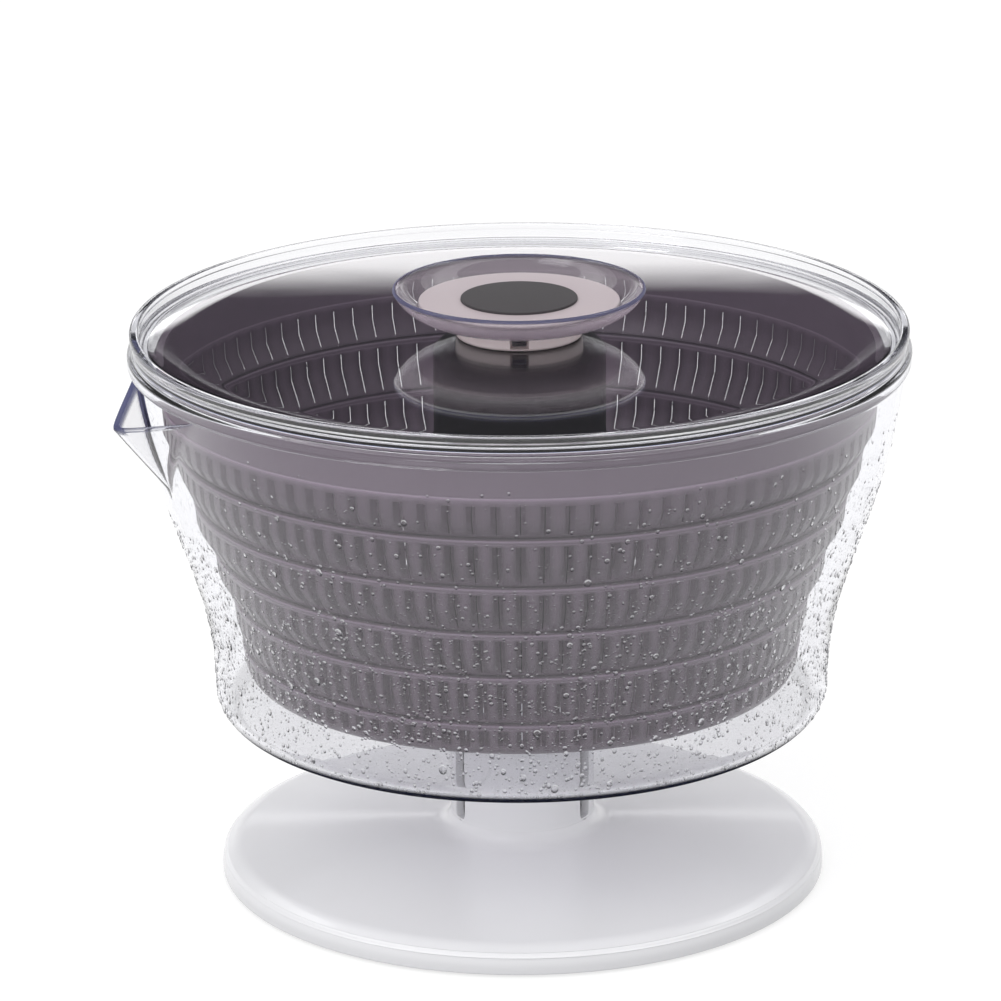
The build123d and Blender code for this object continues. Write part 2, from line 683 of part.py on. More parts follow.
# Knob: a collar on the lid, a clear dish snapped into it, a satin disc and a dark cap
def make_knob_collar():
    collar = tube(COLLAR_R, 0, LID_PLATE_TOP, COLLAR_TOP)
    collar = fillet(collar.edges().group_by(Axis.Z)[0], COLLAR_ROUND)
    collar -= tube(COLLAR_INNER, 0, LID_PLATE_TOP, COLLAR_TOP)
    span = (COLLAR_INNER - OVERLAP, COLLAR_R + OVERLAP)
    window = block(*span, WINDOW_WIDTH, LID_PLATE_TOP + COLLAR_SILL, COLLAR_TOP)
    for place in around(window, WINDOW_COUNT, WINDOW_FIRST_ANGLE):
        collar -= place
    return collar


def make_knob_dish():
    inner_floor = COLLAR_TOP + DISH_THICK
    outer = Spline(
        (COLLAR_R + DISH_LEDGE, COLLAR_TOP),
        DISH_OUTER_WAIST,
        (DISH_RIM_R, DISH_RIM_Z),
        tangents=[DISH_FOOT_TANGENT, DISH_RIM_TANGENT],
    )
    inner = Spline((COLLAR_R, inner_floor), DISH_INNER_WAIST, (DISH_RIM_R - DISH_RIM_THICK, DISH_RIM_Z))
    dish = turned_outline(
        Line((0, COLLAR_TOP), outer @ 0),
        outer,
        Line(outer @ 1, inner @ 1),
        inner,
        Line(inner @ 0, (0, inner_floor)),
        Line((0, inner_floor), (0, COLLAR_TOP)),
    )
    tab_outer = COLLAR_INNER - TAB_GAP
    snap = block(tab_outer - TAB_THICK, tab_outer, TAB_WIDTH, TAB_LOW, COLLAR_TOP)
    snap += block(tab_outer - TAB_GAP, COLLAR_R - HOOK_SUNK, TAB_WIDTH, TAB_LOW, HOOK_TOP)
    for place in around(snap, WINDOW_COUNT, WINDOW_FIRST_ANGLE):
        dish += place
    return dish + tube(DISH_BOSS_R, 0, inner_floor, DISC_TOP - DISC_THICK)


def make_knob_disc():
    return tube(DISC_R, 0, DISC_TOP - DISC_THICK, DISC_TOP)


def make_knob_cap():
    cap = tube(CAP_R, 0, DISC_TOP, CAP_TOP)
    return fillet(cap.edges().group_by(Axis.Z)[-1], CAP_ROUND)


PARTS = {
    "base_shell": make_base_shell,
    "base_cover": make_base_cover,
    "cover_screws": make_cover_screws,
    "non_slip_ring": make_non_slip_ring,
    "drive_nut": make_drive_nut,
    "nut_pins": make_nut_pins,
    "return_spring": make_return_spring,
    "spring_seat": make_spring_seat,
    "spring_cup": make_spring_cup,
    "bearing_carrier": make_bearing_carrier,
    "thrust_washer": make_thrust_washer,
    "drive_shaft": make_drive_shaft,
    "shaft_clip": make_shaft_clip,
    "shaft_foot": make_shaft_foot,
    "foot_screw": make_foot_screw,
    "bowl": make_bowl,
    "bowl_tower": make_bowl_tower,
    "socket_bush": make_socket_bush,
    "socket_washer": make_socket_washer,
    "drive_socket": make_drive_socket,
    "socket_clip": make_socket_clip,
    "basket": make_basket,
    "basket_floor": make_basket_floor,
    "basket_column": make_basket_column,
    "column_bush": make_column_bush,
    "column_washer": make_column_washer,
    "clutch_ring": make_clutch_ring,
    "clutch_rollers": make_clutch_rollers,
    "lid_plate": make_lid_plate,
    "lid_ring": make_lid_ring,
    "knob_collar": make_knob_collar,
    "knob_dish": make_knob_dish,
    "knob_disc": make_knob_disc,
    "knob_cap": make_knob_cap,
}

for name, make in PARTS.items():
    made = make()
    pieces = made if isinstance(made, list) else [made]
    solids = [solid for piece in pieces for solid in piece.solids()]
    shape = Compound(solids) if len(solids) > 1 else solids[0]
    export_step(shape, f"parts/{name}.step", write_pcurves=False)
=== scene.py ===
"""Looks of a press-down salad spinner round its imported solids. Metres, +Z up, front at -Y."""

import bpy
import numpy as np
from mathutils import Matrix


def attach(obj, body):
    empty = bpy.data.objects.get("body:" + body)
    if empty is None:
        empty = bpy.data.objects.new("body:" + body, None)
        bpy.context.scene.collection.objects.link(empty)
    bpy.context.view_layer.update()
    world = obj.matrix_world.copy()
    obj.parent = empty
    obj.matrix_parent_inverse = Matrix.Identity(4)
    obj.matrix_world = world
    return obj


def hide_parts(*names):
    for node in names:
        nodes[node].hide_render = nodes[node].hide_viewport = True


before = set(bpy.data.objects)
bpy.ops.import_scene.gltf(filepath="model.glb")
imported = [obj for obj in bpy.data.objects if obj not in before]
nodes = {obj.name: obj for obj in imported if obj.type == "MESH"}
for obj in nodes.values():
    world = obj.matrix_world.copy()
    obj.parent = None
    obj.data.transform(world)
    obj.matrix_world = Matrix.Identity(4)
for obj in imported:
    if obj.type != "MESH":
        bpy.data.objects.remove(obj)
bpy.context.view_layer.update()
scene = bpy.context.scene

# Base: a crowned white disc with its hollow stem, one glossy injection moulding.
# Three guide slots run down the stem, and a screwed cover closes it from below.
MM = 0.001


def rounded(corners, steps=5):
    """(radius, height) points of an outline whose corners are (radius, height, rounding), in millimetres.

    Each corner is replaced by a curve that leaves one side and joins the next at the rounding's
    distance: start*(1-t)^2 + corner*2t(1-t) + end*t^2. A corner without rounding stays as it is.
    """
    corners = np.array(corners, float)
    place, size = corners[:, :2], corners[:, 2]
    t = np.linspace(0, 1, steps)[:, None]
    points = []
    for i, corner in enumerate(place):
        if size[i] == 0:
            points.append(corner[None])
            continue
        before = place[i - 1] - corner
        after = place[(i + 1) % len(place)] - corner
        start = corner + before / np.linalg.norm(before) * size[i]
        end = corner + after / np.linalg.norm(after) * size[i]
        points.append(start * (1 - t) ** 2 + corner * 2 * t * (1 - t) + end * t**2)
    return np.concatenate(points) * MM


def put(name, points, *faces, crease=32, tone=None):
    """A mesh object from points and arrays of faces, smooth except along edges sharper than crease.

    tone is a share for each point, kept as an attribute that a finish can colour by.
    """
    used, index = np.unique(np.concatenate([some.ravel() for some in faces]), return_inverse=True)
    loops, start = [], 0
    for some in faces:
        loops += index[start:start + some.size].reshape(some.shape).tolist()
        start += some.size
    mesh = bpy.data.meshes.new(name)
    mesh.from_pydata(points[used], [], loops)
    if tone is not None:
        mesh.attributes.new("tone", "FLOAT", "POINT").data.foreach_set("value", tone.ravel()[used])
    mesh.validate()
    mesh.shade_smooth()
    mesh.set_sharp_from_angle(angle=np.radians(crease))
    piece = bpy.data.objects.new(name, mesh)
    scene.collection.objects.link(piece)
    return piece


def spun(profile, angle):
    """Grid of points: a (radius, height) for every row, or for every row and column, turned by angle."""
    radius, height = profile[..., 0], profile[..., 1]
    if profile.ndim == 2:
        radius, height = radius[:, None], height[:, None]
    return np.stack(np.broadcast_arrays(radius * np.cos(angle), radius * np.sin(angle), height), -1)


def pierced(name, outside, inside, solid, angle, inner_angle=None, crease=32, tone=None):
    """A wall with openings: two turned skins on one grid, joined round every opening and end.

    Rows run from top to bottom and columns round Z. solid says for each cell between two rows and
    two columns whether it is wall; where a wall cell meets an open one, a face joins the skins.
    """
    inner_angle = angle if inner_angle is None else inner_angle
    tone = None if tone is None else np.stack([tone, tone])
    skins = [spun(outside, angle).reshape(-1, 3), spun(inside, inner_angle).reshape(-1, 3)]
    rows, columns = len(outside), angle.shape[-1]
    out = np.arange(rows * columns).reshape(rows, columns)
    inn = out + rows * columns
    turn = lambda grid: np.roll(grid, -1, axis=1)
    quad = lambda where, *corner: np.stack(corner, -1)[where]
    left = np.roll(solid, 1, axis=1)
    none = np.zeros((1, columns), bool)
    below, above = np.concatenate([solid, none]), np.concatenate([none, solid])
    return put(
        name,
        np.concatenate(skins),
        quad(solid, out[:-1], out[1:], turn(out)[1:], turn(out)[:-1]),
        quad(solid, inn[:-1], turn(inn)[:-1], turn(inn)[1:], inn[1:]),
        quad(solid & ~left, out[:-1], inn[:-1], inn[1:], out[1:]),
        quad(left & ~solid, out[:-1], out[1:], inn[1:], inn[:-1]),
        quad(below & ~above, out, turn(out), turn(inn), inn),
        quad(above & ~below, out, inn, turn(inn), turn(out)),
        crease=crease,
        tone=tone,
    )


STEM_R, STEM_BORE, STEM_MARGIN = 25.2, 22.4, 0.4
BASE_LOW, BASE_WALL = 0.8, np.array((2.2, 1.8))
GUIDE_HIGH, GUIDE_FOOT, GUIDE_HALF, GUIDE_LEAST, GUIDE_MARGIN = 100.0, 23.0, 3.0, 0.15, 0.1
GUIDE_COLUMNS, BETWEEN_COLUMNS = 5, 40
STEM = rounded(
    [(22.6, 106.0, 0), (STEM_R, 106.0, 0.6), (STEM_R, 21.9, 0), (STEM_R, 15.5, 6.5), (102.4, 9.8, 4.2)]
    + [(105.6, 6.0, 2.8), (105.6, BASE_LOW, 0.5), (104.9, BASE_LOW, 0)],
    steps=9,
)
guide_end = GUIDE_FOOT - GUIDE_HALF * np.sin(np.linspace(0.2, np.pi / 2, 6))
guide_z = np.concatenate([np.linspace(GUIDE_HIGH, GUIDE_FOOT, 12), guide_end])
base_outside = np.concatenate([STEM, np.stack([np.full(len(guide_z), STEM_R), guide_z], -1) * MM])
base_outside = base_outside[np.lexsort((base_outside[:, 0], -base_outside[:, 1]))]
on_stem = base_outside[:, 0] < (STEM_R + STEM_MARGIN) * MM
base_inside = base_outside - np.where(on_stem[:, None], 0, BASE_WALL * MM)
base_inside[on_stem, 0] = STEM_BORE * MM
base_inside[:, 1] = np.maximum(base_inside[:, 1], BASE_LOW * MM)
drop = np.clip((GUIDE_FOOT * MM - base_outside[:, 1]) / (GUIDE_HALF * MM), 0, 1)
guide_wide = np.maximum(np.sqrt(1 - drop**2) * GUIDE_HALF, GUIDE_LEAST)
guide_half = np.degrees(np.arcsin(guide_wide / STEM_R))[:, None]
between = np.linspace(0, 1, BETWEEN_COLUMNS + 2)[1:-1]
third = [guide_half * np.linspace(-1, 1, GUIDE_COLUMNS), guide_half * (1 - 2 * between) + 120 * between]
third = np.concatenate(third, 1)
base_angle = np.radians(np.concatenate([third + 90, third + 210, third + 330], 1))
base_cell = np.arange(base_angle.shape[1]) % third.shape[1]
guide_row = base_outside[1:, 1] > (GUIDE_FOOT - GUIDE_HALF - GUIDE_MARGIN) * MM
guide_row &= base_outside[1:, 0] < (STEM_R + GUIDE_MARGIN) * MM
base_open = guide_row[:, None] & (base_cell < GUIDE_COLUMNS - 1)
base = pierced("base", base_outside, base_inside, ~base_open, base_angle)


class Tap:
    """A socket in a material's node tree. Arithmetic on taps adds Math nodes to that tree."""

    def __init__(self, tree, socket=None):
        self.tree, self.socket = tree, socket

    def node(self, kind, settings=None, inlets=None, outlet=0):
        """Adds a node of one kind: its settings first, then values or taps for its sockets."""
        made = self.tree.nodes.new(kind)
        for key, value in (settings or {}).items():
            if key == "stops":
                while len(made.color_ramp.elements) < len(value):
                    made.color_ramp.elements.new(1.0)
                for element, (position, colour) in zip(made.color_ramp.elements, value):
                    element.position, element.color = position, colour
            else:
                setattr(made, key, value)
        for key, value in (inlets or {}).items():
            inlet = made.inputs[key]
            if isinstance(value, Tap):
                self.tree.links.new(value.socket, inlet)
            else:
                inlet.default_value = value
        return Tap(self.tree, made.outputs[outlet] if made.outputs else None)

    def tone(self):
        """The tone that the points of a mesh carry."""
        return self.node("ShaderNodeAttribute", {"attribute_name": "tone"}, outlet="Fac")

    def math(self, operation, first, second=0.0):
        """One Math node on two values or taps."""
        return self.node("ShaderNodeMath", {"operation": operation}, {0: first, 1: second})

    def held(self):
        """This value, held between 0 and 1."""
        return self.math("MINIMUM", self.math("MAXIMUM", self, 0.0), 1.0)

    def __add__(self, other):
        return self.math("ADD", self, other)

    def __sub__(self, other):
        return self.math("SUBTRACT", self, other)

    def __rsub__(self, other):
        return self.math("SUBTRACT", other, self)

    def __mul__(self, other):
        return self.math("MULTIPLY", self, other)

    def __truediv__(self, other):
        return self.math("DIVIDE", self, other)

    __radd__, __rmul__ = __add__, __mul__


def new_finish(name):
    """An empty material and a tap on its node tree."""
    finish = bpy.data.materials.new(name)
    finish.use_nodes = True
    finish.node_tree.nodes.clear()
    return finish, Tap(finish.node_tree)


def ray_is(tap, *kinds):
    """1 for rays of any of these kinds and 0 for the rest."""
    ray = tap.node("ShaderNodeLightPath").socket.node
    share = Tap(tap.tree, ray.outputs[kinds[0]])
    for kind in kinds[1:]:
        share = tap.math("MAXIMUM", share, Tap(tap.tree, ray.outputs[kind]))
    return share


def gathered(tap, shader, lets_by):
    """The shader as it is seen, and a plain window of one colour for rays that only gather light."""
    window = tap.node("ShaderNodeBsdfTransparent", None, {"Color": (*lets_by, 1)})
    gathers = ray_is(tap, "Is Shadow Ray", "Is Diffuse Ray")
    return tap.node("ShaderNodeMixShader", None, {0: gathers, 1: shader, 2: window})


def moulded(
    name, colour, roughness, streak=0.03, grain=0.02, metallic=0.0, coat=0.0, sheen=0.5,
    tones=None, lets_by=None,
):
    """Moulded surface: colour varies softly by streak, gloss by cloudy noise, and a fine grain is raised.

    sheen is how strongly the bare face mirrors, 1/2 for common plastic and less where it is matt.
    tones are the colours at tone 0, 1/2 and 1 of a piece that has tones. lets_by is the colour of the
    light that a translucent wall lets by: rays that only gather light pass it, dimmed at each face.
    """
    finish, tap = new_finish(name)
    place = tap.node("ShaderNodeTexCoord", outlet="Object")
    cloud = tap.node("ShaderNodeTexNoise", None, {"Vector": place, "Scale": 14.0, "Detail": 3.0})
    fine = tap.node("ShaderNodeTexNoise", None, {"Vector": place, "Scale": 1800.0, "Detail": 2.0})
    if tones:
        share = tap.tone() + (cloud - 0.5) * streak
        stops = [(0.5 * i, (*tone, 1)) for i, tone in enumerate(tones)]
    else:
        share = cloud
        light = tuple(min(1.0, c * (1 + streak)) for c in colour)
        dark = tuple(c * (1 - streak) for c in colour)
        stops = [(0.3, (*dark, 1)), (0.7, (*light, 1))]
    tint = tap.node("ShaderNodeValToRGB", {"stops": stops}, {0: share})
    bump = tap.node("ShaderNodeBump", None, {"Strength": grain, "Distance": 0.0004, "Height": fine})
    shader = tap.node("ShaderNodeBsdfPrincipled", None, {
        "Base Color": tint,
        "Roughness": roughness * 0.85 + cloud * (roughness * 0.3),
        "Metallic": metallic,
        "Specular IOR Level": sheen,
        "Coat Weight": coat,
        "Coat Roughness": 0.08,
        "Normal": bump,
    })
    if lets_by:
        shader = gathered(tap, shader, lets_by)
    tap.node("ShaderNodeOutputMaterial", None, {"Surface": shader})
    return finish


def dress(piece, finish, body=None, stands_for=()):
    """Gives a piece its finish, the body that it rides and the nodes it replaces."""
    piece.data.materials.clear()
    piece.data.materials.append(finish)
    if body:
        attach(piece, body)
    if stands_for:
        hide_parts(*stands_for)


white_gloss = moulded("white_gloss", (0.83, 0.83, 0.85), 0.24, streak=0.012, grain=0.01, coat=0.35)
dress(base, white_gloss, "base", ["base_shell"])

# Base cover with its four screws and the non-slip ring glued into its groove: a plain white
# plate, zinc-plated steel screws and grey rubber, all on the underside.
grey_rubber = moulded("grey_rubber", (0.30, 0.30, 0.32), 0.75, streak=0.06, grain=0.12)
plain_steel = moulded("plain_steel", (0.56, 0.56, 0.57), 0.32, streak=0.05, grain=0.05, metallic=1.0)
dress(nodes["base_cover"], white_gloss)
dress(nodes["non_slip_ring"], grey_rubber)
dress(nodes["cover_screws"], plain_steel)

# Drive inside the stem: a steel twisted bar in an acetal nut, with its pins, return spring,
# seat, cup, carrier and washers. Only glimpses of it show, through the slots and the tower.
acetal = moulded("acetal", (0.78, 0.78, 0.75), 0.42, streak=0.02, grain=0.03)
for name in ("nut_pins", "return_spring", "spring_seat", "drive_shaft", "shaft_clip", "foot_screw"):
    dress(nodes[name], plain_steel)
for name in ("drive_nut", "spring_cup", "bearing_carrier", "thrust_washer", "shaft_foot"):
    dress(nodes[name], acetal)

# Bowl: one clear moulding with a pouring spout, its tower welded into the floor. The wall is
# 2.2 mm thick and polished, with a blue toner that shows where one looks along the plastic.
ALWAYS = -1.0


def clear(name, bend, above, below, tint=None, density=0.0, ripple=0.0):
    """Clear stuff with an index of refraction, darker the longer the way through it, its face rippled.

    above and below are painted skins of a piece at tone 1 and at tone -1, painted shade where dark and
    painted light where pale: a colour, the share that it hides of what lies behind, and how far the face
    must slant away from the eye before it shows. ALWAYS shows a skin from everywhere.
    """
    finish, tap = new_finish(name)
    place = tap.node("ShaderNodeTexCoord", outlet="Object")
    tone = tap.tone()
    facing = tap.node("ShaderNodeLayerWeight", None, {"Blend": 0.5}, outlet="Facing")
    cloud = tap.node("ShaderNodeTexNoise", None, {"Vector": place, "Scale": 9.0, "Detail": 2.0})
    wave = tap.node("ShaderNodeTexNoise", None, {"Vector": place, "Scale": 32.0, "Detail": 1.0})
    bump = tap.node("ShaderNodeBump", None, {"Strength": ripple, "Distance": 0.0006, "Height": wave})
    glass = tap.node("ShaderNodeBsdfPrincipled", None, {
        "Base Color": (0.985, 0.985, 0.992, 1),
        "Roughness": 0.004 + cloud * 0.012,
        "IOR": bend,
        "Transmission Weight": 1.0,
        "Normal": bump,
    })
    # Each painted skin is a diffuse and translucent colour mixed over the glass where the tone asks for it.
    for side, (colour, share, slant) in ((1.0, above), (-1.0, below)):
        deep = ((facing - slant) * 3.0).held()
        hides = (tone * side).held() * deep * share
        lit = tap.node("ShaderNodeBsdfDiffuse", None, {"Color": (*colour, 1)})
        lit_through = tap.node("ShaderNodeBsdfTranslucent", None, {"Color": (*colour, 1)})
        skin = tap.node("ShaderNodeMixShader", None, {0: 0.5, 1: lit, 2: lit_through})
        glass = tap.node("ShaderNodeMixShader", None, {0: hides, 1: glass, 2: skin})
    ends = {"Surface": gathered(tap, glass, (0.955, 0.955, 0.96))}
    if density:
        depth = {"Color": (*tint, 1), "Density": density}
        ends["Volume"] = tap.node("ShaderNodeVolumeAbsorption", None, depth)
    tap.node("ShaderNodeOutputMaterial", None, ends)
    return finish


def through(points, at, last_slope):
    """Smooth curve through (height, radius) points: a cubic between each two, with even curvature.

    It leaves the first point upright and reaches the last one with last_slope.
    """
    x, y = np.array(points, float).T
    h, slope = np.diff(x), np.diff(y) / np.diff(x)
    system = np.diag(2 * np.concatenate([[h[0]], h[:-1] + h[1:], [h[-1]]]))
    system += np.diag(h, 1) + np.diag(h, -1)
    ends = 6 * np.concatenate([[slope[0]], np.diff(slope), [last_slope - slope[-1]]])
    bend = np.linalg.solve(system, ends)
    i = np.clip(np.searchsorted(x, at) - 1, 0, len(h) - 1)
    a, b = x[i + 1] - at, at - x[i]
    cubic = (bend[i] * a**3 + bend[i + 1] * b**3) / (6 * h[i])
    return cubic + (y[i] / h[i] - bend[i] * h[i] / 6) * a + (y[i + 1] / h[i] - bend[i + 1] * h[i] / 6) * b


BOWL_THICK, BOWL_LIP, LIP_SLOPE, LIP_SQUARE = 2.2, 186.0, 0.12, 0.35
CORNER_R, CORNER_Z, CORNER_BEND = 97.4, 69.0, 9.0
BOWL_WALL = ((CORNER_Z, 106.4), (100.0, 110.0), (130.0, 119.5), (160.0, 128.2), (BOWL_LIP, 132.4))
SPOUT_AT, SPOUT_HALF, SHOULDER_R = np.radians(200.0), np.radians(15.7), 131.6
SPOUT_KEEL = np.array((124.5, 0.0, 147.5))
SPOUT_TIP = np.array((146.6, 0.0, 175.3))
SPOUT_SHOULDER = np.array((SHOULDER_R * np.cos(SPOUT_HALF), SHOULDER_R * np.sin(SPOUT_HALF), 185.2))
PLANE_REACH, LIP_REACH, SPOUT_DEEP, SPOUT_LIMIT = 1.4, 1.5, 30.0, 160.0
TIP_EASE, SHOULDER_EASE, CREASE_EASE, CREASE_WIDE = np.radians(1.0), 8.0, 0.5, 6.0
ALMOST_NONE = 1e-6


def turned_wall(height):
    """Radius of the bowl's outer wall at a height, away from the spout."""
    return through(BOWL_WALL, height, LIP_SLOPE)


def spout_radius(height, off):
    """Radius of the spout's two planes through the keel, the tip and a shoulder, deep inside elsewhere."""
    normal = np.cross(SPOUT_TIP - SPOUT_KEEL, SPOUT_SHOULDER - SPOUT_KEEL)
    off = np.sqrt(off**2 + TIP_EASE**2)
    reach = normal[0] * np.cos(off) + normal[1] * np.sin(off)
    reach = np.where(np.abs(reach) < ALMOST_NONE, ALMOST_NONE, reach)
    plane = (normal @ SPOUT_KEEL - normal[2] * height) / reach
    deep = turned_wall(height) - SPOUT_DEEP
    return np.clip(np.where(off < PLANE_REACH * SPOUT_HALF, plane, deep), deep, SPOUT_LIMIT)


def bowl_radius(height, off):
    """Radius of the bowl's outer wall at a height and an angle off the spout.

    It is the larger of the turned wall and the spout's planes, with the corner between them eased.
    """
    wall, plane = turned_wall(height), spout_radius(height, off)
    join = np.sqrt((wall - plane) ** 2 + CREASE_EASE**2)
    return 0.5 * (wall + plane + join) - 0.5 * CREASE_EASE * np.exp(-(((wall - plane) / CREASE_WIDE) ** 2))


def bowl_lip(off):
    """Height of the lip: level, and along the spout falling from each shoulder to the tip."""
    off = np.sqrt(off**2 + TIP_EASE**2)
    run = SPOUT_TIP[:2] - SPOUT_SHOULDER[:2]
    across = run[1] * np.cos(off) - run[0] * np.sin(off)
    share = (SPOUT_SHOULDER[0] * np.sin(off) - SPOUT_SHOULDER[1] * np.cos(off)) / across
    share = np.clip(np.where(off < LIP_REACH * SPOUT_HALF, share, 0), 0, 1)
    step = (BOWL_LIP - SPOUT_SHOULDER[2]) * np.clip(share * SHOULDER_EASE, 0, 1)
    return BOWL_LIP - step + share * (SPOUT_TIP[2] - SPOUT_SHOULDER[2])


NEAR_SPAN, NEAR_COLUMNS, FAR_COLUMNS, WALL_ROWS, RISE_EASE, FLOOR_FROM = 1.6, 141, 300, 64, 1.3, 27.5
near = np.linspace(-NEAR_SPAN, NEAR_SPAN, NEAR_COLUMNS) * SPOUT_HALF
far = np.linspace(near[-1], 2 * np.pi + near[0], FAR_COLUMNS + 2)[1:-1]
off_spout = np.concatenate([near, far])
off_spout = np.where(off_spout > np.pi, off_spout - 2 * np.pi, off_spout)
lip_half = BOWL_THICK / 2
wall_end = bowl_lip(off_spout) - lip_half
rise = 1 - (1 - np.linspace(0, 1, WALL_ROWS)[:, None]) ** RISE_EASE
wall_z = CORNER_Z + (wall_end - CORNER_Z) * rise
wall_r = bowl_radius(wall_z, off_spout)
over = np.linspace(0, np.pi, 13)[1:-1, None]
lip_r = wall_r[-1] - lip_half * (1 - np.sign(np.cos(over)) * np.abs(np.cos(over)) ** LIP_SQUARE)
lip_z = wall_z[-1] + lip_half * np.sin(over) ** LIP_SQUARE
corner = np.linspace(-np.pi / 2, 0, 12)[:-1, None] + 0 * off_spout
inner_bend = CORNER_BEND - BOWL_THICK
floor_out = np.linspace(FLOOR_FROM, CORNER_R, 14)[:-1, None] + 0 * off_spout
floor_in = floor_out[::-1]
bowl_r = [floor_out, CORNER_R + CORNER_BEND * np.cos(corner), wall_r, lip_r, (wall_r - BOWL_THICK)[::-1]]
bowl_r += [CORNER_R + inner_bend * np.cos(corner[::-1]), floor_in]
bowl_z = [CORNER_Z - CORNER_BEND + 0 * floor_out, CORNER_Z + CORNER_BEND * np.sin(corner), wall_z, lip_z]
bowl_z += [wall_z[::-1], CORNER_Z + inner_bend * np.sin(corner[::-1]), CORNER_Z - inner_bend + 0 * floor_in]
bowl_grid = np.stack([np.concatenate(bowl_r), np.concatenate(bowl_z)], -1) * MM


def ringed(name, grid, angle, crease=32, tone=None):
    """A closed turned skin: the rows of (radius, height) run round the section and meet again."""
    points = spun(grid, angle)
    index = np.arange(points.shape[0] * points.shape[1]).reshape(points.shape[:2])
    up, side = np.roll(index, -1, axis=0), np.roll(index, -1, axis=1)
    faces = np.stack([index, side, np.roll(up, -1, axis=1), up], -1).reshape(-1, 4)
    return put(name, points.reshape(-1, 3), faces, crease=crease, tone=tone)


def capped(name, profile, columns=256, crease=32, tone=None):
    """A turned skin from the axis to the axis: rows of (radius, height) from below to above, poles closed.

    tone is one share for each row.
    """
    if tone is not None:
        tone = np.concatenate([np.repeat(tone[1:-1], columns), tone[[0, -1]]])
    angle = np.linspace(0, 2 * np.pi, columns, endpoint=False)
    rows = len(profile) - 2
    poles = np.array([(0, 0, profile[0, 1]), (0, 0, profile[-1, 1])])
    points = np.concatenate([spun(profile[1:-1], angle).reshape(-1, 3), poles])
    index = np.arange(rows * columns).reshape(rows, columns)
    side = np.roll(index, -1, axis=1)
    faces = np.stack([index[:-1], side[:-1], side[1:], index[1:]], -1).reshape(-1, 4)
    low, high = np.full(columns, rows * columns), np.full(columns, rows * columns + 1)
    under, above = np.stack([low, side[0], index[0]], -1), np.stack([high, index[-1], side[-1]], -1)
    return put(name, points, faces, under, above, crease=crease, tone=tone)


# Painted shade on the bowl, kept as its tones: dark lines painted at -1 along the foot's outer corner,
# by angle in the corner, and up to 1 along the spout's lip and the crease on the spout's far side.
FOOT_LINE = ((-90, 0), (-84, 0.6), (-76, 1), (-38, 1), (-33, 0.4), (-26, 0))
RIDGE, SHOULDER_FADE = 0.1, 0.06
FAR_TONE, NEAR_TONE, NEAR_FALL = 0.97, 0.7, 0.5
CREASE_BAND, CREASE_FROM, CREASE_RISE = 0.9, 165.0, 10.0
LIP_BAND, LIP_FULL = 0.6, 1.6
foot_painted_shade = -np.interp(np.degrees(corner), *np.array(FOOT_LINE).T)
spout_share = off_spout / SPOUT_HALF
far_side = spout_share < RIDGE
at_spout = np.clip((1 + SHOULDER_FADE - np.abs(spout_share)) / SHOULDER_FADE, 0, 1)
at_spout = at_spout * np.where(far_side, FAR_TONE, NEAR_TONE - NEAR_FALL * np.clip(spout_share, 0, 1))
beside = turned_wall(wall_z) - spout_radius(wall_z, off_spout)
crease_painted_shade = FAR_TONE * np.exp(-((beside / CREASE_BAND) ** 2)) * far_side
crease_painted_shade = crease_painted_shade * np.clip((wall_z - CREASE_FROM) / CREASE_RISE, 0, 1)
inner_painted_shade = at_spout * far_side * np.clip(LIP_FULL - (wall_end - wall_z) / LIP_BAND, 0, 1)
inner_painted_shade = np.maximum(inner_painted_shade, crease_painted_shade)
bowl_painted_shade = [0 * floor_out, foot_painted_shade, crease_painted_shade, at_spout + 0 * lip_z, inner_painted_shade[::-1]]
bowl_painted_shade = np.concatenate(bowl_painted_shade + [0 * corner, 0 * floor_in])
bowl = ringed("bowl", bowl_grid, off_spout + SPOUT_AT, tone=bowl_painted_shade)
TONER, INDIGO, NAVY = (0.30, 0.32, 0.64), (0.135, 0.142, 0.265), (0.006, 0.008, 0.024)
PLASTIC_BEND = 1.49
# EDGE and FOOT are painted shade: indigo and navy skins that paint dark lines along lips, creases and the
# foot.
EDGE, FOOT = (INDIGO, 0.9, ALWAYS), (NAVY, 0.97, 0.1)
polished = clear("polished", PLASTIC_BEND, EDGE, FOOT, TONER, density=14.0, ripple=0.05)
dress(bowl, polished, "bowl", ["bowl"])

TOWER = rounded(
    [(25.6, 60.0, 0), (27.3, 60.0, 0), (27.3, 166.0, 0.8), (13.5, 166.0, 0), (13.5, 171.0, 0.5)]
    + [(10.0, 171.0, 0), (10.0, 163.0, 0), (25.6, 163.0, 0)]
)
tower = ringed("tower", TOWER, np.linspace(0, 2 * np.pi, 192, endpoint=False))
dress(tower, polished, "bowl", ["bowl_tower"])

# Beads of water that stand on the bowl's outer wall, more of them low down. Each is a shallow
# dome of a fraction of a millimetre to three millimetres, resting on the plastic, with a painted
# highlight on top and a painted shade below.
chance = np.random.default_rng(11)
BEAD_LOW, BEAD_HIGH, BEAD_LIFT = 64.0, 179.0, 0.02
DRY_FROM, DRY_SPAN, STRAY, CLUMPING = 178.0, 80.0, 0.05, 0.28
SPOUT_DRY, SPOUT_DRY_FROM = 1.2, 138.0
DOME_TIP, DRAWN_OUT, LEAN_STEP, BEAD_CREASE = 0.4, 0.33, 0.05, 75
# Bounds of a dome's painted highlight and of its painted shade.
GLINT_FROM, SHADE_MOST, SHADE_FALL, SHADE_FROM = 0.2, 0.25, 0.9, 0.7


def wetted(height, off):
    """Radius of the bowl's outside, which in the foot's corner is middle + sqrt(bend^2 - depth^2)."""
    depth = np.minimum(height - CORNER_Z, 0)
    return np.where(depth < 0, CORNER_R + np.sqrt(CORNER_BEND**2 - depth**2), bowl_radius(height, off))


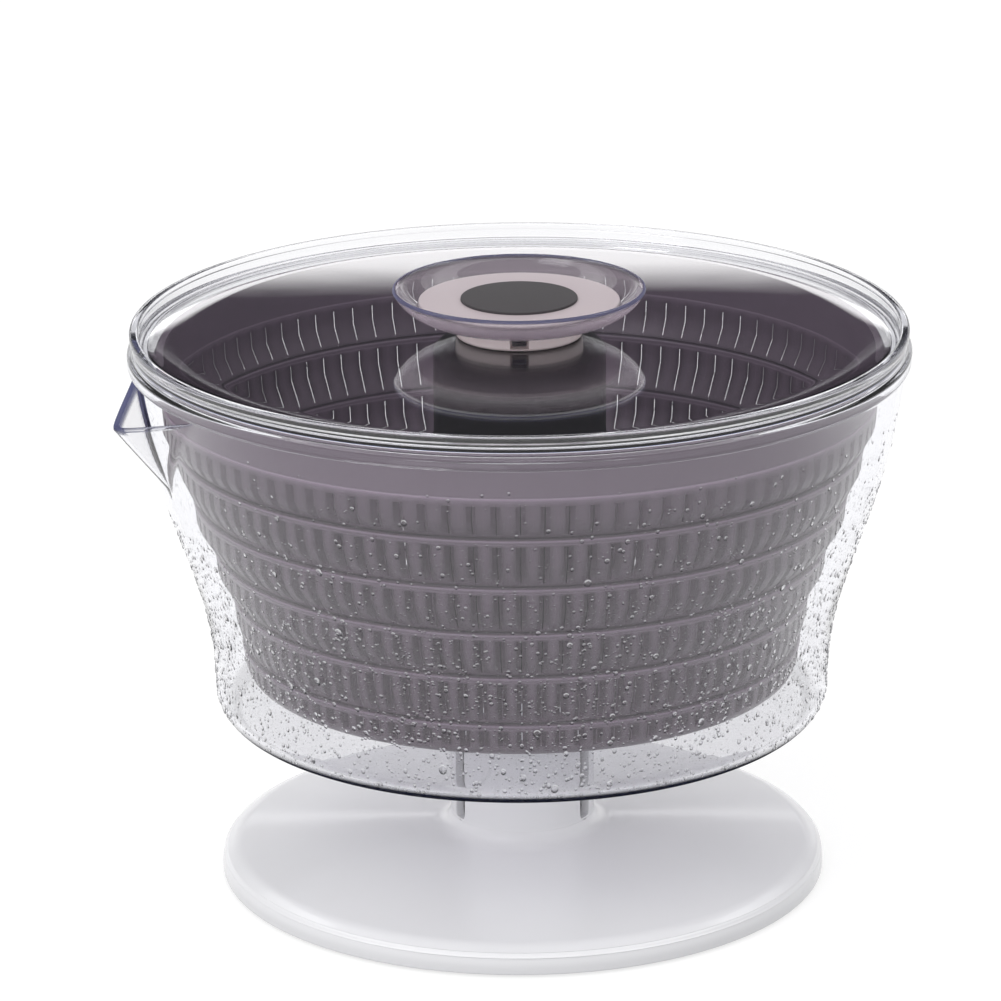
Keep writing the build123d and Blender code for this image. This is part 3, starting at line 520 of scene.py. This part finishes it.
def beaded(name, tries, most, middling, spread, bounds, sides, dome_rows):
    """Small domes strewn on the bowl's outer wall, kept more often the lower they stand, in clumps.

    A dome is rings of (share of radius, share of height) that close in a tip above and a point below.
    Its radius is middling * exp(spread * normal draw), held within bounds; it stands along the wall's
    normal and is drawn out upwards by up to a third. Clumps stand where two slanting waves meet, each
    a sine of angle and height. A dome's second ring carries a painted highlight on top, and the rest a
    painted shade below.
    """
    off, z = chance.uniform(-np.pi, np.pi, tries), chance.uniform(BEAD_LOW, BEAD_HIGH, tries)
    clumps = np.sin(9 * off + z / 13) * np.sin(5 * off - z / 8 + 1.0)
    crowd = np.clip((DRY_FROM - z) / DRY_SPAN, 0, 1) * (1 - CLUMPING + CLUMPING * clumps) + STRAY
    crowd = np.where((np.abs(off) < SPOUT_DRY * SPOUT_HALF) & (z > SPOUT_DRY_FROM), 0, crowd)
    keep = np.flatnonzero(chance.random(tries) < crowd)[:most]
    off, z = off[keep], z[keep]
    size = np.clip(middling * np.exp(spread * chance.standard_normal(len(keep))), *bounds)
    drawn = 1 + DRAWN_OUT * chance.random(len(keep))
    lean = (wetted(z + LEAN_STEP, off) - wetted(z - LEAN_STEP, off)) / (2 * LEAN_STEP)
    outward = np.stack([np.cos(off + SPOUT_AT), np.sin(off + SPOUT_AT), 0 * off], -1)
    across = np.stack([-outward[:, 1], outward[:, 0], 0 * off], -1)
    upward = (outward * lean[:, None] + (0, 0, 1)) / np.sqrt(1 + lean**2)[:, None]
    facing = np.cross(across, upward)
    turn = np.linspace(0, 2 * np.pi, sides, endpoint=False)
    share, height = np.array(dome_rows).T[:, :, None]
    rings = np.broadcast_arrays(share * np.cos(turn), share * np.sin(turn), height)
    dome = np.concatenate([np.stack(rings, -1).reshape(-1, 3), [(0, 0, DOME_TIP), (0, 0, 0)]])
    ring = np.arange(len(dome) - 2).reshape(-1, sides)
    after = np.roll(ring, -1, axis=1)
    top, foot = np.full(sides, len(dome) - 2), np.full(sides, len(dome) - 1)
    faces = np.concatenate([
        np.stack([ring[:-1], after[:-1], after[1:]], -1).reshape(-1, 3),
        np.stack([ring[:-1], after[1:], ring[1:]], -1).reshape(-1, 3),
        np.stack([ring[-1], after[-1], top], -1),
        np.stack([after[0], ring[0], foot], -1),
    ])
    seat = outward * wetted(z, off)[:, None] + facing * BEAD_LIFT
    seat[:, 2] += z
    axes = np.stack([across, upward * drawn[:, None], facing], 1) * size[:, None, None]
    points = seat[:, None] + np.einsum("pk,nkc->npc", dome, axes)
    faces = faces + (np.arange(len(keep)) * len(dome))[:, None, None]
    # light marks the points of the painted highlight, dark is the share of painted shade, and shade holds
    # both.
    light = (np.arange(len(dome)) // sides == min(1, len(dome_rows) - 1)) & (dome[:, 1] > GLINT_FROM)
    dark = np.clip(SHADE_MOST - SHADE_FALL * dome[:, 1], 0, 1)
    dark = dark * (np.hypot(dome[:, 0], dome[:, 1]) > SHADE_FROM)
    shade = np.tile(np.where(light, -1.0, dark), len(keep))
    return put(name, points.reshape(-1, 3) * MM, faces.reshape(-1, 3), crease=BEAD_CREASE, tone=shade)


DOME, FLAT = ((1.0, 0.0), (0.85, 0.2), (0.6, 0.32)), ((1.0, 0.0),)
fine_beads = beaded("fine_beads", 30000, 12000, 0.17, 0.25, (0.1, 0.26), 5, FLAT)
small_beads = beaded("small_beads", 15000, 5400, 0.4, 0.3, (0.26, 0.7), 6, DOME)
middling_beads = beaded("middling_beads", 4200, 2000, 0.62, 0.2, (0.45, 0.9), 8, DOME)
large_beads = beaded("large_beads", 520, 240, 0.95, 0.24, (0.8, 1.5), 10, DOME)
WATER_BEND = 1.33
# SHADE is painted shade on each bead's lower part and GLINT a painted highlight on its top.
SHADE, GLINT = ((0.02, 0.02, 0.025), 0.8, ALWAYS), ((1.0, 1.0, 1.0), 0.95, ALWAYS)
water = clear("water", WATER_BEND, SHADE, GLINT, ripple=0.02)
for beads in (fine_beads, small_beads, middling_beads, large_beads):
    dress(beads, water, "bowl")

# Drive socket in the tower's bush: an acetal journal with a hexagon inside, held by a steel clip.
# The bush and washer that it runs in are acetal too.
for name in ("socket_bush", "socket_washer", "drive_socket"):
    dress(nodes[name], acetal)
dress(nodes["socket_clip"], plain_steel)

# Basket: smoky grey polypropylene, one moulding with a plain rim band, six stepped bands of
# upright slots and a slotted floor. A groove and a rounded ledge run round the top of every band.
# Its colour carries painted light and shade, by row and across each slot.
STEPS = ((122.8, 173.0), (118.3, 157.9), (112.8, 139.5), (106.0, 121.5), (100.0, 104.2), (96.8, 86.3))
SLOT_PITCHES, PER_PITCH = 96, 6
WALL_SLOT, FLOOR_SLOT, SLOT_DRAFT, SLOT_WIDEST = 1.6, 1.5, 0.09, 1.5
BASKET_THICK, RIM_TOP, RIM_BORE = 1.9, 188.5, 120.9
SMOOTH_TONE = 0.5
# rows run down the outside and along the underside. every says for each row how many pitches apart
# the slots below it stand, 0 for none. The row tones are each row's share of painted light: painted
# shade in the grooves and under the ledges, a painted highlight on the ledges.
rows = [(122.4, RIM_TOP), (122.9, RIM_TOP), (123.3, 188.1), (123.3, 187.0), (123.0, 186.6), (122.6, 186.4)]
rim_rows = len(rows)
rows += [(122.3, 185.6), (122.3, 180.0), (122.3, 174.0), (122.75, 173.6), (122.8, 173.0)]
every = [0] * len(rows)
row_painted_light = [0.62] * 9 + [1.0, 0.7]
inner_nodes = [(RIM_TOP, RIM_BORE), (173.0, RIM_BORE)]
for k, (radius, top) in enumerate(STEPS):
    if k:
        rows += [(radius - 0.3, top + 0.5), (radius + 0.25, top + 0.25), (radius + 0.4, top - 0.2)]
        rows += [(radius + 0.3, top - 0.7), (radius, top - 1.1)]
        every += [0] * 5
        row_painted_light += [0.3, 0.85, 0.6, 0.56, 0.72]
        inner_nodes += [(top, radius - BASKET_THICK)]
    rows += [(radius - 0.1, top - 1.8), (radius - 0.35, top - 4.6)]
    every += [1, 1]
    row_painted_light += [SMOOTH_TONE, SMOOTH_TONE]
    inner_nodes += [(top - 7.4, radius - 0.6 - BASKET_THICK)]
    if k < len(STEPS) - 1:
        next_r, next_z = STEPS[k + 1]
        rows += [(radius - 0.6, top - 7.4), ((radius + next_r) / 2 - 0.5, (top - 7.4 + next_z) / 2)]
        rows += [(next_r - 0.5, next_z + 2.2), (next_r - 0.8, next_z + 1.5)]
        rows += [(next_r - 1.45, next_z + 1.25), (next_r - 1.45, next_z + 0.6)]
        every += [1, 1, 0, 0, 0, 0]
        row_painted_light += [SMOOTH_TONE, SMOOTH_TONE, SMOOTH_TONE, 0.35, 0.0, 0.0]
rows += [(96.2, 80.5), (95.6, 78.6), (94.6, 76.8), (93.0, 75.4), (90.6, 74.5), (88.0, 74.0)]
every += [1, 0, 0, 0, 0, 0]
TURN_IN = ((93.0, 77.6), (91.4, 76.9), (89.4, 76.3), (87.0, 75.9))
turn_start, turn_end = len(rows) - len(TURN_IN), len(rows)
rows += [(81.0, 74.0), (72.0, 74.0), (63.0, 74.0), (57.0, 74.0), (48.0, 74.0), (40.0, 74.0), (29.7, 74.0)]
every += [2, 2, 0, 4, 4, 0, 0]
every = np.array(every)
basket_outside = np.array(rows) * MM
inner_z, inner_r = np.array(inner_nodes[::-1]).T * MM
basket_inside = np.stack([np.interp(basket_outside[:, 1], inner_z, inner_r), basket_outside[:, 1]], -1)
basket_inside[turn_start:turn_end] = np.array(TURN_IN) * MM
basket_inside[turn_end:] = basket_outside[turn_end:] + (0, BASKET_THICK * MM)
basket_inside[:rim_rows, 0] = RIM_BORE * MM
on_floor = np.arange(len(rows)) > turn_start
half_slot = np.where(on_floor, FLOOR_SLOT, WALL_SLOT) * MM
half_angle = np.minimum(np.degrees(half_slot / basket_outside[:, 0]), SLOT_WIDEST)
bar = np.linspace(0, 1, 5)[1:-1]
pitch = 360 / SLOT_PITCHES


def slotted(half):
    """Angles of every column in every row: three across each slot, three across the bar after it."""
    one = np.concatenate([half[:, None] * (-1.0, 0.0, 1.0), half[:, None] * (1 - 2 * bar) + pitch * bar], 1)
    turns = pitch * np.arange(SLOT_PITCHES)
    return np.radians((turns[None, :, None] + one[:, None, :]).reshape(len(half), -1))


basket_angle = slotted(half_angle)
inner_angle = slotted(half_angle * np.where(on_floor, 1.0, SLOT_DRAFT))
cell = np.arange(basket_angle.shape[1])
apart = every[:-1, None]
basket_open = (apart > 0) & (cell % PER_PITCH < 2) & ((cell // PER_PITCH) % np.maximum(apart, 1) == 0)
# Painted shade across each pitch: the slot's sides darker and the bar's middle lighter, softer in the top
# bands.
BAR_PAINTED_SHADE = np.array((0.3, 0.3, 0.3, 0.88, 1.06, 0.88))
TOP_SHADE_CONTRAST = 0.45
row_painted_light = np.array(row_painted_light + [SMOOTH_TONE] * (len(rows) - len(row_painted_light)))[:, None]
shade_contrast = np.where(basket_outside[:, 1] > STEPS[1][1] * MM, TOP_SHADE_CONTRAST, 1.0) * (every == 1)
basket_painted_light = row_painted_light * (1 + shade_contrast[:, None] * (BAR_PAINTED_SHADE[cell % PER_PITCH] - 1))
basket = pierced(
    "basket", basket_outside, basket_inside, ~basket_open, basket_angle, inner_angle,
    crease=40, tone=basket_painted_light,
)
# SMOKY is the basket's colour in painted shade, plain, and in painted light, at tone 0, 1/2 and 1.
SMOKY = ((0.042, 0.029, 0.041), (0.122, 0.0905, 0.12), (0.285, 0.22, 0.285))
smoky = moulded(
    "smoky", SMOKY[1], 0.36, streak=0.06, grain=0.03, sheen=0.4, tones=SMOKY, lets_by=(0.84, 0.83, 0.84)
)
dress(basket, smoky, "basket", ["basket", "basket_floor"])

# Column of the basket: a charcoal tube with a rounded shoulder, which carries the basket and
# holds the one-way clutch, its bush and its washer.
COLUMN = rounded(
    [(0, 72.5, 0), (29.6, 72.5, 0), (29.6, 75.9, 0), (32.0, 75.9, 0), (32.0, 77.9, 0.6), (29.6, 77.9, 0.8)]
    + [(29.6, 189.3, 5.0), (0, 189.3, 0)],
    steps=9,
)
column = capped("column", COLUMN)
charcoal = moulded("charcoal", (0.014, 0.013, 0.014), 0.48, streak=0.1, grain=0.05, sheen=0.2)
dress(column, charcoal, "basket", ["basket_column"])
for name in ("column_bush", "column_washer"):
    dress(nodes[name], acetal)
for name in ("clutch_ring", "clutch_rollers"):
    dress(nodes[name], plain_steel)

# Lid: a flat clear plate in a raised edge ring, with a bead at the ring's foot and a skirt
# that centres it in the bowl. Polished like the bowl, and dry.
PLATE_R, PLATE_LOW, PLATE_HIGH, LID_COLUMNS = 125.0, 190.6, 193.0, 384
LID = rounded(
    [(126.4, PLATE_LOW, 0.4), (126.4, 187.4, 0.5), (128.4, 187.4, 0.5), (128.4, 189.6, 0.3)]
    + [(130.0, 189.6, 0.3), (130.0, 186.05, 0.4), (134.15, 186.05, 0.9), (134.15, 189.9, 0.9)]
    + [(132.6, 190.9, 0.6), (132.6, 194.8, 0.3), (133.2, 195.4, 0.3), (133.2, 197.4, 0.9)]
    + [(130.0, 197.4, 0.9), (130.0, PLATE_HIGH, 0.9)]
)
plate = np.linspace(0, PLATE_R, 12)[:, None] * MM
plate_low = np.hstack([plate, PLATE_LOW * MM + 0 * plate])
plate_high = np.hstack([plate[::-1], PLATE_HIGH * MM + 0 * plate])
lid = capped("lid", np.concatenate([plate_low, LID, plate_high]), columns=LID_COLUMNS)
lid_clear = clear("lid_clear", PLASTIC_BEND, EDGE, FOOT, TONER, density=9.0, ripple=0.015)
dress(lid, lid_clear, "lid", ["lid_plate", "lid_ring"])

# Knob: a satin collar on the lid with three snap windows, a clear dish snapped into it, a
# satin disc let into the dish and a dark soft-touch cap. The cap's face is bare.
SNAPS = np.array((270, 30, 150))
COLLAR_TOP, COLLAR_FOOT, COLLAR_BORE, COLLAR_INSIDE = 197.75, 193.05, 15.0, 14.6
COLLAR_MIDDLE, COLLAR_BEND = (20.4, 194.45), 1.4
WINDOW_HALF, WINDOW_R, WINDOW_FOOT, WINDOW_COLUMNS, WALL_COLUMNS = 3.2, 21.5, 193.9, 5, 40
bend = np.linspace(0, np.pi / 2, 10)
collar_foot = np.stack([np.cos(bend), -np.sin(bend)], -1) * COLLAR_BEND + COLLAR_MIDDLE
collar_out = [[(COLLAR_BORE, COLLAR_TOP), (21.9, COLLAR_TOP)], collar_foot, [(COLLAR_BORE, COLLAR_FOOT)]]
collar_out = np.concatenate(collar_out) * MM
collar_in = collar_out.copy()
collar_in[:, 0] = COLLAR_INSIDE * MM
window_half = np.degrees(WINDOW_HALF / WINDOW_R)
window = np.linspace(window_half, 120 - window_half, WALL_COLUMNS + 2)[1:-1]
window = np.concatenate([np.linspace(-1, 1, WINDOW_COLUMNS) * window_half, window])
collar_angle = np.radians(SNAPS[:, None] + window).reshape(1, -1)
collar_cell = np.arange(collar_angle.shape[1]) % len(window)
window_open = (collar_out[1:, 1] > WINDOW_FOOT * MM)[:, None] & (collar_cell < WINDOW_COLUMNS - 1)
collar = pierced("collar", collar_out, collar_in, ~window_open, collar_angle)
satin = moulded("satin", (0.49, 0.42, 0.445), 0.34, streak=0.03, grain=0.04, sheen=0.25)
# The collar's satin is a lighter copy of the disc's satin: painted light on the collar, which stands in the
# dish's shade.
satin_painted_light = moulded("satin_painted_light", (0.86, 0.74, 0.735), 0.30, streak=0.03, grain=0.04)
dress(collar, satin_painted_light, "lid", ["knob_collar"])


def curve(points, steps=24):
    """Points on the curve a + bt + ct^2 through three (radius, height) points, at t 0, 1/2 and 1."""
    a, m, b = np.array(points, float)
    t = np.linspace(0, 1, steps)[:, None]
    return (a * (1 - 2 * t) * (1 - t) + m * 4 * t * (1 - t) + b * t * (2 * t - 1)) * MM


# The dish's tones: a dark line painted along the rim's outer edge, and a pale lavender skin painted over
# the underside, painted light that lightens its front.
DISH_LOW, DISH_SEAT = 197.8, 204.1
DISH_RIM_R, DISH_RIM_Z, RIM_PAINTED_SHADE = 42.5, 208.9, 0.8
PALE_FROM, PALE_TO = 23.5, 42.6
dish_start = np.array([(0, DISH_LOW), (12.0, DISH_LOW)]) * MM
dish_under = curve([(22.0, DISH_LOW), (35.6, 201.6), (43.3, 209.2)])
dish_lip = rounded([(43.3, 209.6, 0.3), (42.9, 210.0, 0.3), (41.9, 210.0, 0.3)])
dish_over = curve([(41.5, 209.4), (34.6, 203.6), (22.0, 199.9)])
dish_end = np.array([(12.5, 199.8), (12.0, 200.3), (12.0, DISH_SEAT), (0, DISH_SEAT)]) * MM
dish_profile = np.concatenate([dish_start, dish_under, dish_lip, dish_over, dish_end])
dish_r, dish_z = dish_profile.T / MM
dish_rim = (dish_r > DISH_RIM_R) & (dish_z > DISH_RIM_Z)
dish_below = np.arange(len(dish_profile)) < len(dish_start) + len(dish_under)
dish_painted_pale = dish_below & (dish_r > PALE_FROM) & (dish_r < PALE_TO)
dish = capped("dish", dish_profile, tone=dish_rim * RIM_PAINTED_SHADE - dish_painted_pale * 1.0)
# The pale lavender skin over the dish's underside is painted light.
PAINTED_PALE = ((0.74, 0.62, 0.70), 0.26, ALWAYS)
dish_clear = clear("dish_clear", PLASTIC_BEND, EDGE, PAINTED_PALE, TONER, density=9.0, ripple=0.02)
dress(dish, dish_clear, "lid", ["knob_dish"])

HOOK_MIDDLE, HOOK_HALF, HOOK_SQUARE = (17.15, 0.0, 195.2), (2.75, 2.6, 0.8), 0.3
HOOK_ROWS, HOOK_SIDES = 13, 24


def squared(value):
    """A share between -1 and 1 pushed towards its ends, which turns an ellipsoid into a rounded block."""
    return np.sign(value) * np.abs(value) ** HOOK_SQUARE


tilt = np.linspace(-np.pi / 2, np.pi / 2, HOOK_ROWS + 2)[1:-1, None]
swing = np.linspace(0, 2 * np.pi, HOOK_SIDES, endpoint=False)
block = np.broadcast_arrays(
    squared(np.cos(tilt)) * squared(np.cos(swing)),
    squared(np.cos(tilt)) * squared(np.sin(swing)),
    squared(np.sin(tilt)),
)
block = np.concatenate([np.stack(block, -1).reshape(-1, 3), [(0, 0, -1), (0, 0, 1)]])
block = (block * HOOK_HALF + HOOK_MIDDLE) * MM
snap_turn = np.radians(SNAPS)[:, None]
hook_points = np.broadcast_arrays(
    block[:, 0] * np.cos(snap_turn) - block[:, 1] * np.sin(snap_turn),
    block[:, 0] * np.sin(snap_turn) + block[:, 1] * np.cos(snap_turn),
    block[:, 2],
)
hook_grid = np.arange(len(block) - 2).reshape(-1, HOOK_SIDES)
hook_next = np.roll(hook_grid, -1, axis=1)
hook_low, hook_high = np.full(HOOK_SIDES, len(block) - 2), np.full(HOOK_SIDES, len(block) - 1)
hook_sides = np.stack([hook_grid[:-1], hook_next[:-1], hook_next[1:], hook_grid[1:]], -1).reshape(-1, 4)
hook_ends = [np.stack([hook_low, hook_next[0], hook_grid[0]], -1)]
hook_ends = np.concatenate(hook_ends + [np.stack([hook_high, hook_grid[-1], hook_next[-1]], -1)])
later = (np.arange(len(SNAPS)) * len(block))[:, None, None]
hooks = put(
    "hooks", np.stack(hook_points, -1).reshape(-1, 3),
    (hook_sides + later).reshape(-1, 4), (hook_ends + later).reshape(-1, 3),
)
dress(hooks, polished, "lid")

disc_profile = rounded(
    [(0, 204.12, 0), (13.5, 204.12, 0), (15.0, 200.9, 0.5), (22.0, 200.3, 1.0), (30.0, 202.2, 2.0)]
    + [(34.4, 204.3, 0.3), (34.4, 205.6, 0.5), (20.6, 205.6, 0), (0, 205.6, 0)]
)
disc = capped("disc", disc_profile)
dress(disc, satin, "lid", ["knob_disc"])
cap_profile = rounded([(0, 205.62, 0), (20.0, 205.62, 0), (20.0, 206.5, 0.4), (0, 206.5, 0)])
cap = capped("cap", cap_profile)
soft_dark = moulded("soft_dark", (0.058, 0.053, 0.057), 0.5, streak=0.06, grain=0.08, sheen=0.12)
dress(cap, soft_dark, "lid", ["knob_cap"])

# Studio: a white floor that keeps the shadow, an even white room, a soft key from the upper left, a
# weak fill, a bright ceiling that only gloss shows, and a dark curtain all round. A lit slit in the
# curtain's back lies where the far part of the lid mirrors it.
SEEN = ("Is Camera Ray", "Is Glossy Ray", "Is Transmission Ray")
WHITE = (1, 1, 1, 1)
FLOOR_HALF, FLOOR_DROP, FLOOR_GLOW = 8, 0.0002, 0.75
floor_mesh = bpy.data.meshes.new("floor")
floor_corners = [(x * FLOOR_HALF, y * FLOOR_HALF, 0) for x, y in ((-1, -1), (1, -1), (1, 1), (-1, 1))]
floor_mesh.from_pydata(floor_corners, [], [(0, 1, 2, 3)])
floor = bpy.data.objects.new("floor", floor_mesh)
floor.location.z = -FLOOR_DROP
scene.collection.objects.link(floor)
floor_finish, tap = new_finish("floor")
paper = tap.node("ShaderNodeBsdfDiffuse", None, {"Color": (0.32, 0.32, 0.33, 1)})
faint = tap.node("ShaderNodeBsdfDiffuse", None, {"Color": (0.30, 0.30, 0.30, 1)})
glow = tap.node("ShaderNodeEmission", None, {"Color": WHITE, "Strength": FLOOR_GLOW})
shown = tap.node("ShaderNodeAddShader", None, {0: faint, 1: glow})
sheet = tap.node("ShaderNodeMixShader", None, {0: ray_is(tap, *SEEN), 1: paper, 2: shown})
tap.node("ShaderNodeOutputMaterial", None, {"Surface": sheet})
floor_mesh.materials.append(floor_finish)

ROOM_LIGHT = 0.95
room = bpy.data.worlds.new("room")
room.use_nodes = True
room.node_tree.nodes.clear()
tap = Tap(room.node_tree)
sky_strength = ROOM_LIGHT + ray_is(tap, *SEEN) * (1 - ROOM_LIGHT)
sky = tap.node("ShaderNodeBackground", None, {"Color": WHITE, "Strength": sky_strength})
tap.node("ShaderNodeOutputWorld", None, {"Surface": sky})
scene.world = room

CURTAIN_R, CURTAIN_LOW, CURTAIN_HIGH, CURTAIN_FADE, CURTAIN_COLUMNS = 2.4, 0.5, 1.7, 0.3, 96
CURTAIN_THIN = 0.4
SLIT, SLIT_GLOW, SLIT_NARROW = ((0.77, 0.0), (0.79, 1.0), (0.826, 1.0), (0.85, 0.0)), 3.4, 16.0
curtain_rows = np.array([(CURTAIN_R, CURTAIN_LOW), (CURTAIN_R, CURTAIN_HIGH)])
curtain_turn = np.linspace(0, 2 * np.pi, CURTAIN_COLUMNS, endpoint=False)
curtain_grid = spun(curtain_rows, curtain_turn)
low_row, high_row = np.arange(2 * CURTAIN_COLUMNS).reshape(2, CURTAIN_COLUMNS)
curtain_faces = np.stack([low_row, high_row, np.roll(high_row, -1), np.roll(low_row, -1)], -1)
curtain_tone = np.tile(CURTAIN_THIN + (1 - CURTAIN_THIN) * np.sin(curtain_turn) ** 2, 2)
curtain = put("curtain", curtain_grid.reshape(-1, 3), curtain_faces, tone=curtain_tone)
curtain_finish, tap = new_finish("curtain")
place = tap.node("ShaderNodeTexCoord", outlet="Object")
height = tap.node("ShaderNodeSeparateXYZ", None, {0: place}, outlet="Z")
thick = tap.math("MINIMUM", (height - CURTAIN_LOW) / CURTAIN_FADE, 1.0) * tap.tone()
cloth = tap.node("ShaderNodeBsdfDiffuse", None, {"Color": (0.05, 0.05, 0.055, 1)})
behind = tap.node("ShaderNodeSeparateXYZ", None, {0: place}, outlet="Y") / CURTAIN_R
behind = tap.math("POWER", tap.math("MAXIMUM", behind, 0.0), SLIT_NARROW)
slit_stops = [(up, (share, share, share, 1)) for up, share in SLIT]
slit_open = tap.node("ShaderNodeValToRGB", {"stops": slit_stops}, {0: height})
bounces = tap.node("ShaderNodeLightPath", outlet="Glossy Depth")
mirrored_once = (1 - ray_is(tap, "Is Transmission Ray")) * tap.math("LESS_THAN", bounces, 1.5)
slit_light = tap.node("ShaderNodeEmission", None, {"Color": WHITE, "Strength": SLIT_GLOW})
slit_share = slit_open * behind * mirrored_once
cloth = tap.node("ShaderNodeMixShader", None, {0: slit_share, 1: cloth, 2: slit_light})
thin = tap.node("ShaderNodeBsdfTransparent", None, {"Color": WHITE})
hung = tap.node("ShaderNodeMixShader", None, {0: thick, 1: thin, 2: cloth})
tap.node("ShaderNodeOutputMaterial", None, {"Surface": hung})
curtain.data.materials.append(curtain_finish)
curtain.visible_camera = curtain.visible_diffuse = curtain.visible_shadow = False

CEILING_NEAR, CEILING_FAR, CEILING_UP, CEILING_GLOW, CEILING_EDGE = 1.2, 2.3, 2.1, 2.5, 0.4
ceiling_rows = np.array([(CEILING_NEAR, CEILING_UP), (CEILING_FAR, CEILING_UP)])
ceiling_grid = spun(ceiling_rows, curtain_turn)
ceiling_tone = np.repeat((1.0, 0.0), CURTAIN_COLUMNS)
ceiling = put("ceiling", ceiling_grid.reshape(-1, 3), curtain_faces, tone=ceiling_tone)
ceiling_finish, tap = new_finish("ceiling")
inward = tap.math("MINIMUM", tap.tone() / CEILING_EDGE, 1.0)
ceiling_strength = 1.0 + inward * (CEILING_GLOW - 1.0)
panel = tap.node("ShaderNodeEmission", None, {"Color": WHITE, "Strength": ceiling_strength})
tap.node("ShaderNodeOutputMaterial", None, {"Surface": panel})
ceiling.data.materials.append(ceiling_finish)
ceiling.visible_camera = ceiling.visible_diffuse = False
ceiling.visible_transmission = ceiling.visible_shadow = False


def aimed(place, forward, roll):
    """Matrix at a place that looks along forward, level apart from a roll about that line."""
    forward = forward / np.linalg.norm(forward)
    right = np.cross(forward, (0, 0, 1))
    right /= np.linalg.norm(right)
    up = np.cross(right, forward)
    turned = np.eye(4)
    turned[:3, 0] = np.cos(roll) * right + np.sin(roll) * up
    turned[:3, 1] = np.cos(roll) * up - np.sin(roll) * right
    turned[:3, 2], turned[:3, 3] = -forward, place
    return Matrix(turned.tolist())


def lamp(name, place, target, size, power):
    """A square soft lamp at a place, turned towards a target, whose own square no gloss shows."""
    light = bpy.data.lights.new(name, "AREA")
    light.size, light.energy = size, power
    piece = bpy.data.objects.new(name, light)
    piece.visible_glossy = False
    scene.collection.objects.link(piece)
    piece.matrix_world = aimed(np.array(place), np.array(target) - np.array(place), 0.0)


lamp("key", place=(-1.1, -1.2, 1.7), target=(0, 0, 0.1), size=1.0, power=12)
lamp("fill", place=(-0.7, -1.9, 0.45), target=(0, 0, 0.12), size=1.2, power=3)

FOCAL_PIXELS, PICTURE_PIXELS, SENSOR = 5200, 1001, 36
LOOK_DOWN, LOOK_ASIDE, LOOK_TILT = np.radians((17.973, -0.231, -0.461))
LOOK_FROM = np.array((0, -1.7090, 0.6878))
view = bpy.data.cameras.new("view")
view.sensor_width = SENSOR
view.lens = FOCAL_PIXELS / PICTURE_PIXELS * SENSOR
view.clip_end = 50
camera = bpy.data.objects.new("camera", view)
scene.collection.objects.link(camera)
level = np.array((np.sin(LOOK_ASIDE), np.cos(LOOK_ASIDE), 0)) * np.cos(LOOK_DOWN)
camera.matrix_world = aimed(LOOK_FROM, level - (0, 0, np.sin(LOOK_DOWN)), LOOK_TILT)
scene.camera = camera

scene.view_settings.view_transform = "Standard"
scene.cycles.max_bounces = 28
scene.cycles.transmission_bounces = 24
scene.cycles.transparent_max_bounces = 24
scene.cycles.glossy_bounces = 8
scene.cycles.diffuse_bounces = 4
scene.cycles.use_denoising = True
